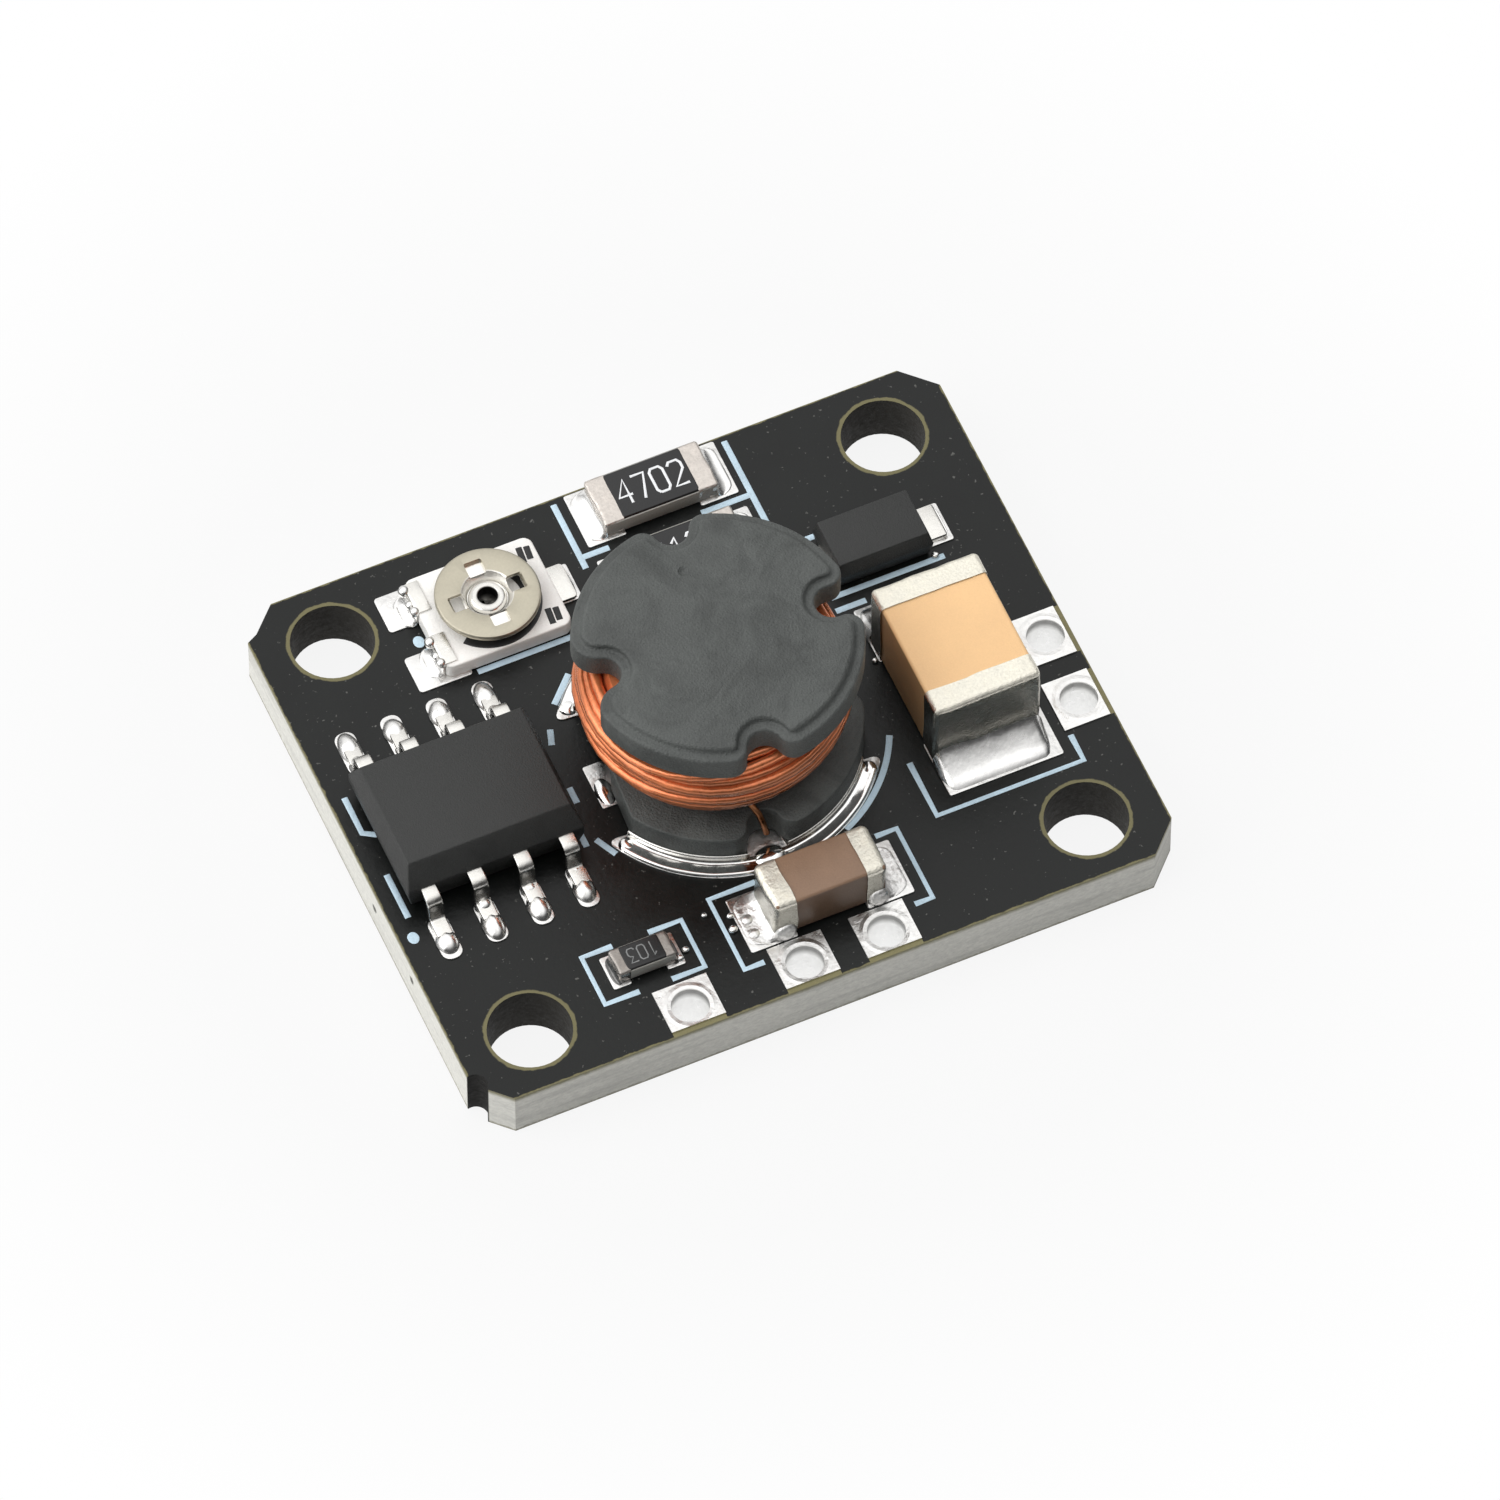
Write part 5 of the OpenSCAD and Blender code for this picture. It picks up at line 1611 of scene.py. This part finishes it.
class MODULE_OT_stage(bpy.types.Operator):
    """Sets the floor, the light and the camera"""

    bl_idname = "module.stage"
    bl_label = "Stage"
    bl_options = {"REGISTER", "UNDO"}

    def execute(self, context):
        look = context.scene.boost_module.stage
        fresh()
        bpy.ops.mesh.primitive_plane_add(size=4, location=(0, 0, -0.02 * MM))
        floor = placed(bpy.context.object)
        floor.name = "floor"
        floor.data.materials.append(self.floor_finish(look))
        self.sky(look)
        self.lamp("key_lamp", (-0.5, 0.08, 0.32), 0.6, look.key)
        self.lamp("top_lamp", (0.1, 0.15, 0.7), 0.8, look.top)
        self.camera(look)
        return {"FINISHED"}

    def floor_finish(self, look):
        """White to the camera and in metal, a pale sheet to the light, with the module's shadow on it."""
        made = Finish("pale_floor")
        tree = made.tree
        path = made.node("ShaderNodeLightPath").outputs
        seen = made.sum("MAXIMUM", path["Is Camera Ray"], path["Is Glossy Ray"])
        far = made.node("ShaderNodeVectorMath", operation="LENGTH")
        made.put(far.inputs[0], made.place)
        white = made.scaled(far.outputs["Value"], 14 * MM, 26 * MM, look.glow, 1.0)
        diffuse = made.node("ShaderNodeBsdfDiffuse")
        diffuse.inputs["Color"].default_value = (*look.floor, 1)
        mix = made.node("ShaderNodeMixShader")
        made.put(mix.inputs[0], made.sum("MULTIPLY", white, seen))
        made.put(mix.inputs[1], diffuse.outputs[0])
        made.put(mix.inputs[2], made.node("ShaderNodeEmission").outputs[0])
        made.put(tree.nodes["Material Output"].inputs["Surface"], mix.outputs[0])
        tree.nodes.remove(made.shader)
        return made.material

    def sky(self, look):
        """Light that falls mostly from above and a little from the back, and a white background."""
        world = bpy.context.scene.world or bpy.data.worlds.new("sky")
        bpy.context.scene.world = world
        world.use_nodes = True
        tree = world.node_tree
        tree.nodes.clear()
        new, link = tree.nodes.new, tree.links.new
        height = new("ShaderNodeVectorMath")
        height.operation = "DOT_PRODUCT"
        height.inputs[1].default_value = (-0.1, 0.34, 0.935)
        link(new("ShaderNodeTexCoord").outputs["Generated"], height.inputs[0])
        rise = new("ShaderNodeMapRange")
        rise.interpolation_type = "SMOOTHSTEP"
        link(height.outputs["Value"], rise.inputs["Value"])
        bounds = {"From Min": 0.2, "From Max": 0.76, "To Min": look.horizon, "To Max": look.sky}
        for socket, value in bounds.items():
            rise.inputs[socket].default_value = value
        light = new("ShaderNodeBackground")
        white = new("ShaderNodeBackground")
        for shader in (light, white):
            shader.inputs["Color"].default_value = (1, 1, 1, 1)
        link(rise.outputs["Result"], light.inputs["Strength"])
        mix = new("ShaderNodeMixShader")
        link(new("ShaderNodeLightPath").outputs["Is Camera Ray"], mix.inputs[0])
        link(light.outputs[0], mix.inputs[1])
        link(white.outputs[0], mix.inputs[2])
        link(mix.outputs[0], new("ShaderNodeOutputWorld").inputs["Surface"])

    def lamp(self, name, at, size, power):
        fresh()
        bpy.ops.object.light_add(type="AREA", location=at, rotation=aimed(-Vector(at)))
        lamp = bpy.context.object
        lamp.name = name
        lamp.data.size = size
        lamp.data.energy = power

    def camera(self, look):
        level = math.cos(look.elevation)
        back = Vector((math.sin(look.azimuth) * level, -math.cos(look.azimuth) * level,
                       math.sin(look.elevation)))
        fresh()
        bpy.ops.object.camera_add(location=Vector(look.target) + back * look.distance, rotation=aimed(-back))
        camera = bpy.context.object
        camera.data.lens = look.lens
        camera.data.sensor_width = 36
        camera.data.clip_start = 0.01
        camera.data.clip_end = 20
        bpy.context.scene.camera = camera
        bpy.context.scene.view_settings.view_transform = "Standard"


class MODULE_PT_panel(bpy.types.Panel):
    """Lists the pieces of the module"""

    bl_idname = "MODULE_PT_panel"
    bl_label = "Boost converter module"
    bl_space_type = "VIEW_3D"
    bl_region_type = "UI"
    bl_category = "Module"

    def draw(self, context):
        for operator in OPERATORS:
            self.layout.operator(operator.bl_idname)
        props = context.scene.boost_module
        for group in props.bl_rna.properties:
            if group.type == "POINTER" and group.identifier != "rna_type":
                box = self.layout.box()
                box.label(text=group.name)
                inner = getattr(props, group.identifier)
                for item in inner.bl_rna.properties:
                    if not item.is_readonly and item.identifier != "name":
                        box.prop(inner, item.identifier)


GROUPS = (BoardLook, JointLook, ChipLook, TrimmerLook, InductorLook, CapacitorLook, ResistorLook, DiodeLook,
          StageLook, ModuleLook)
OPERATORS = (MODULE_OT_board, MODULE_OT_lands, MODULE_OT_print, MODULE_OT_chip, MODULE_OT_trimmer,
             MODULE_OT_inductor, MODULE_OT_capacitors, MODULE_OT_resistors, MODULE_OT_diode, MODULE_OT_beads,
             MODULE_OT_stage)


def register():
    for item in GROUPS + OPERATORS + (MODULE_PT_panel,):
        bpy.utils.register_class(item)
    bpy.types.Scene.boost_module = PointerProperty(type=ModuleLook)


def unregister():
    del bpy.types.Scene.boost_module
    for item in reversed(GROUPS + OPERATORS + (MODULE_PT_panel,)):
        bpy.utils.unregister_class(item)


def main():
    register()
    bpy.ops.module.board()
    bpy.ops.module.lands()
    bpy.ops.module.print()
    bpy.ops.module.chip()
    bpy.ops.module.trimmer()
    bpy.ops.module.inductor()
    bpy.ops.module.capacitors()
    bpy.ops.module.resistors()
    bpy.ops.module.diode()
    bpy.ops.module.beads()
    bpy.ops.module.stage()


if __name__ == "__main__":
    main()
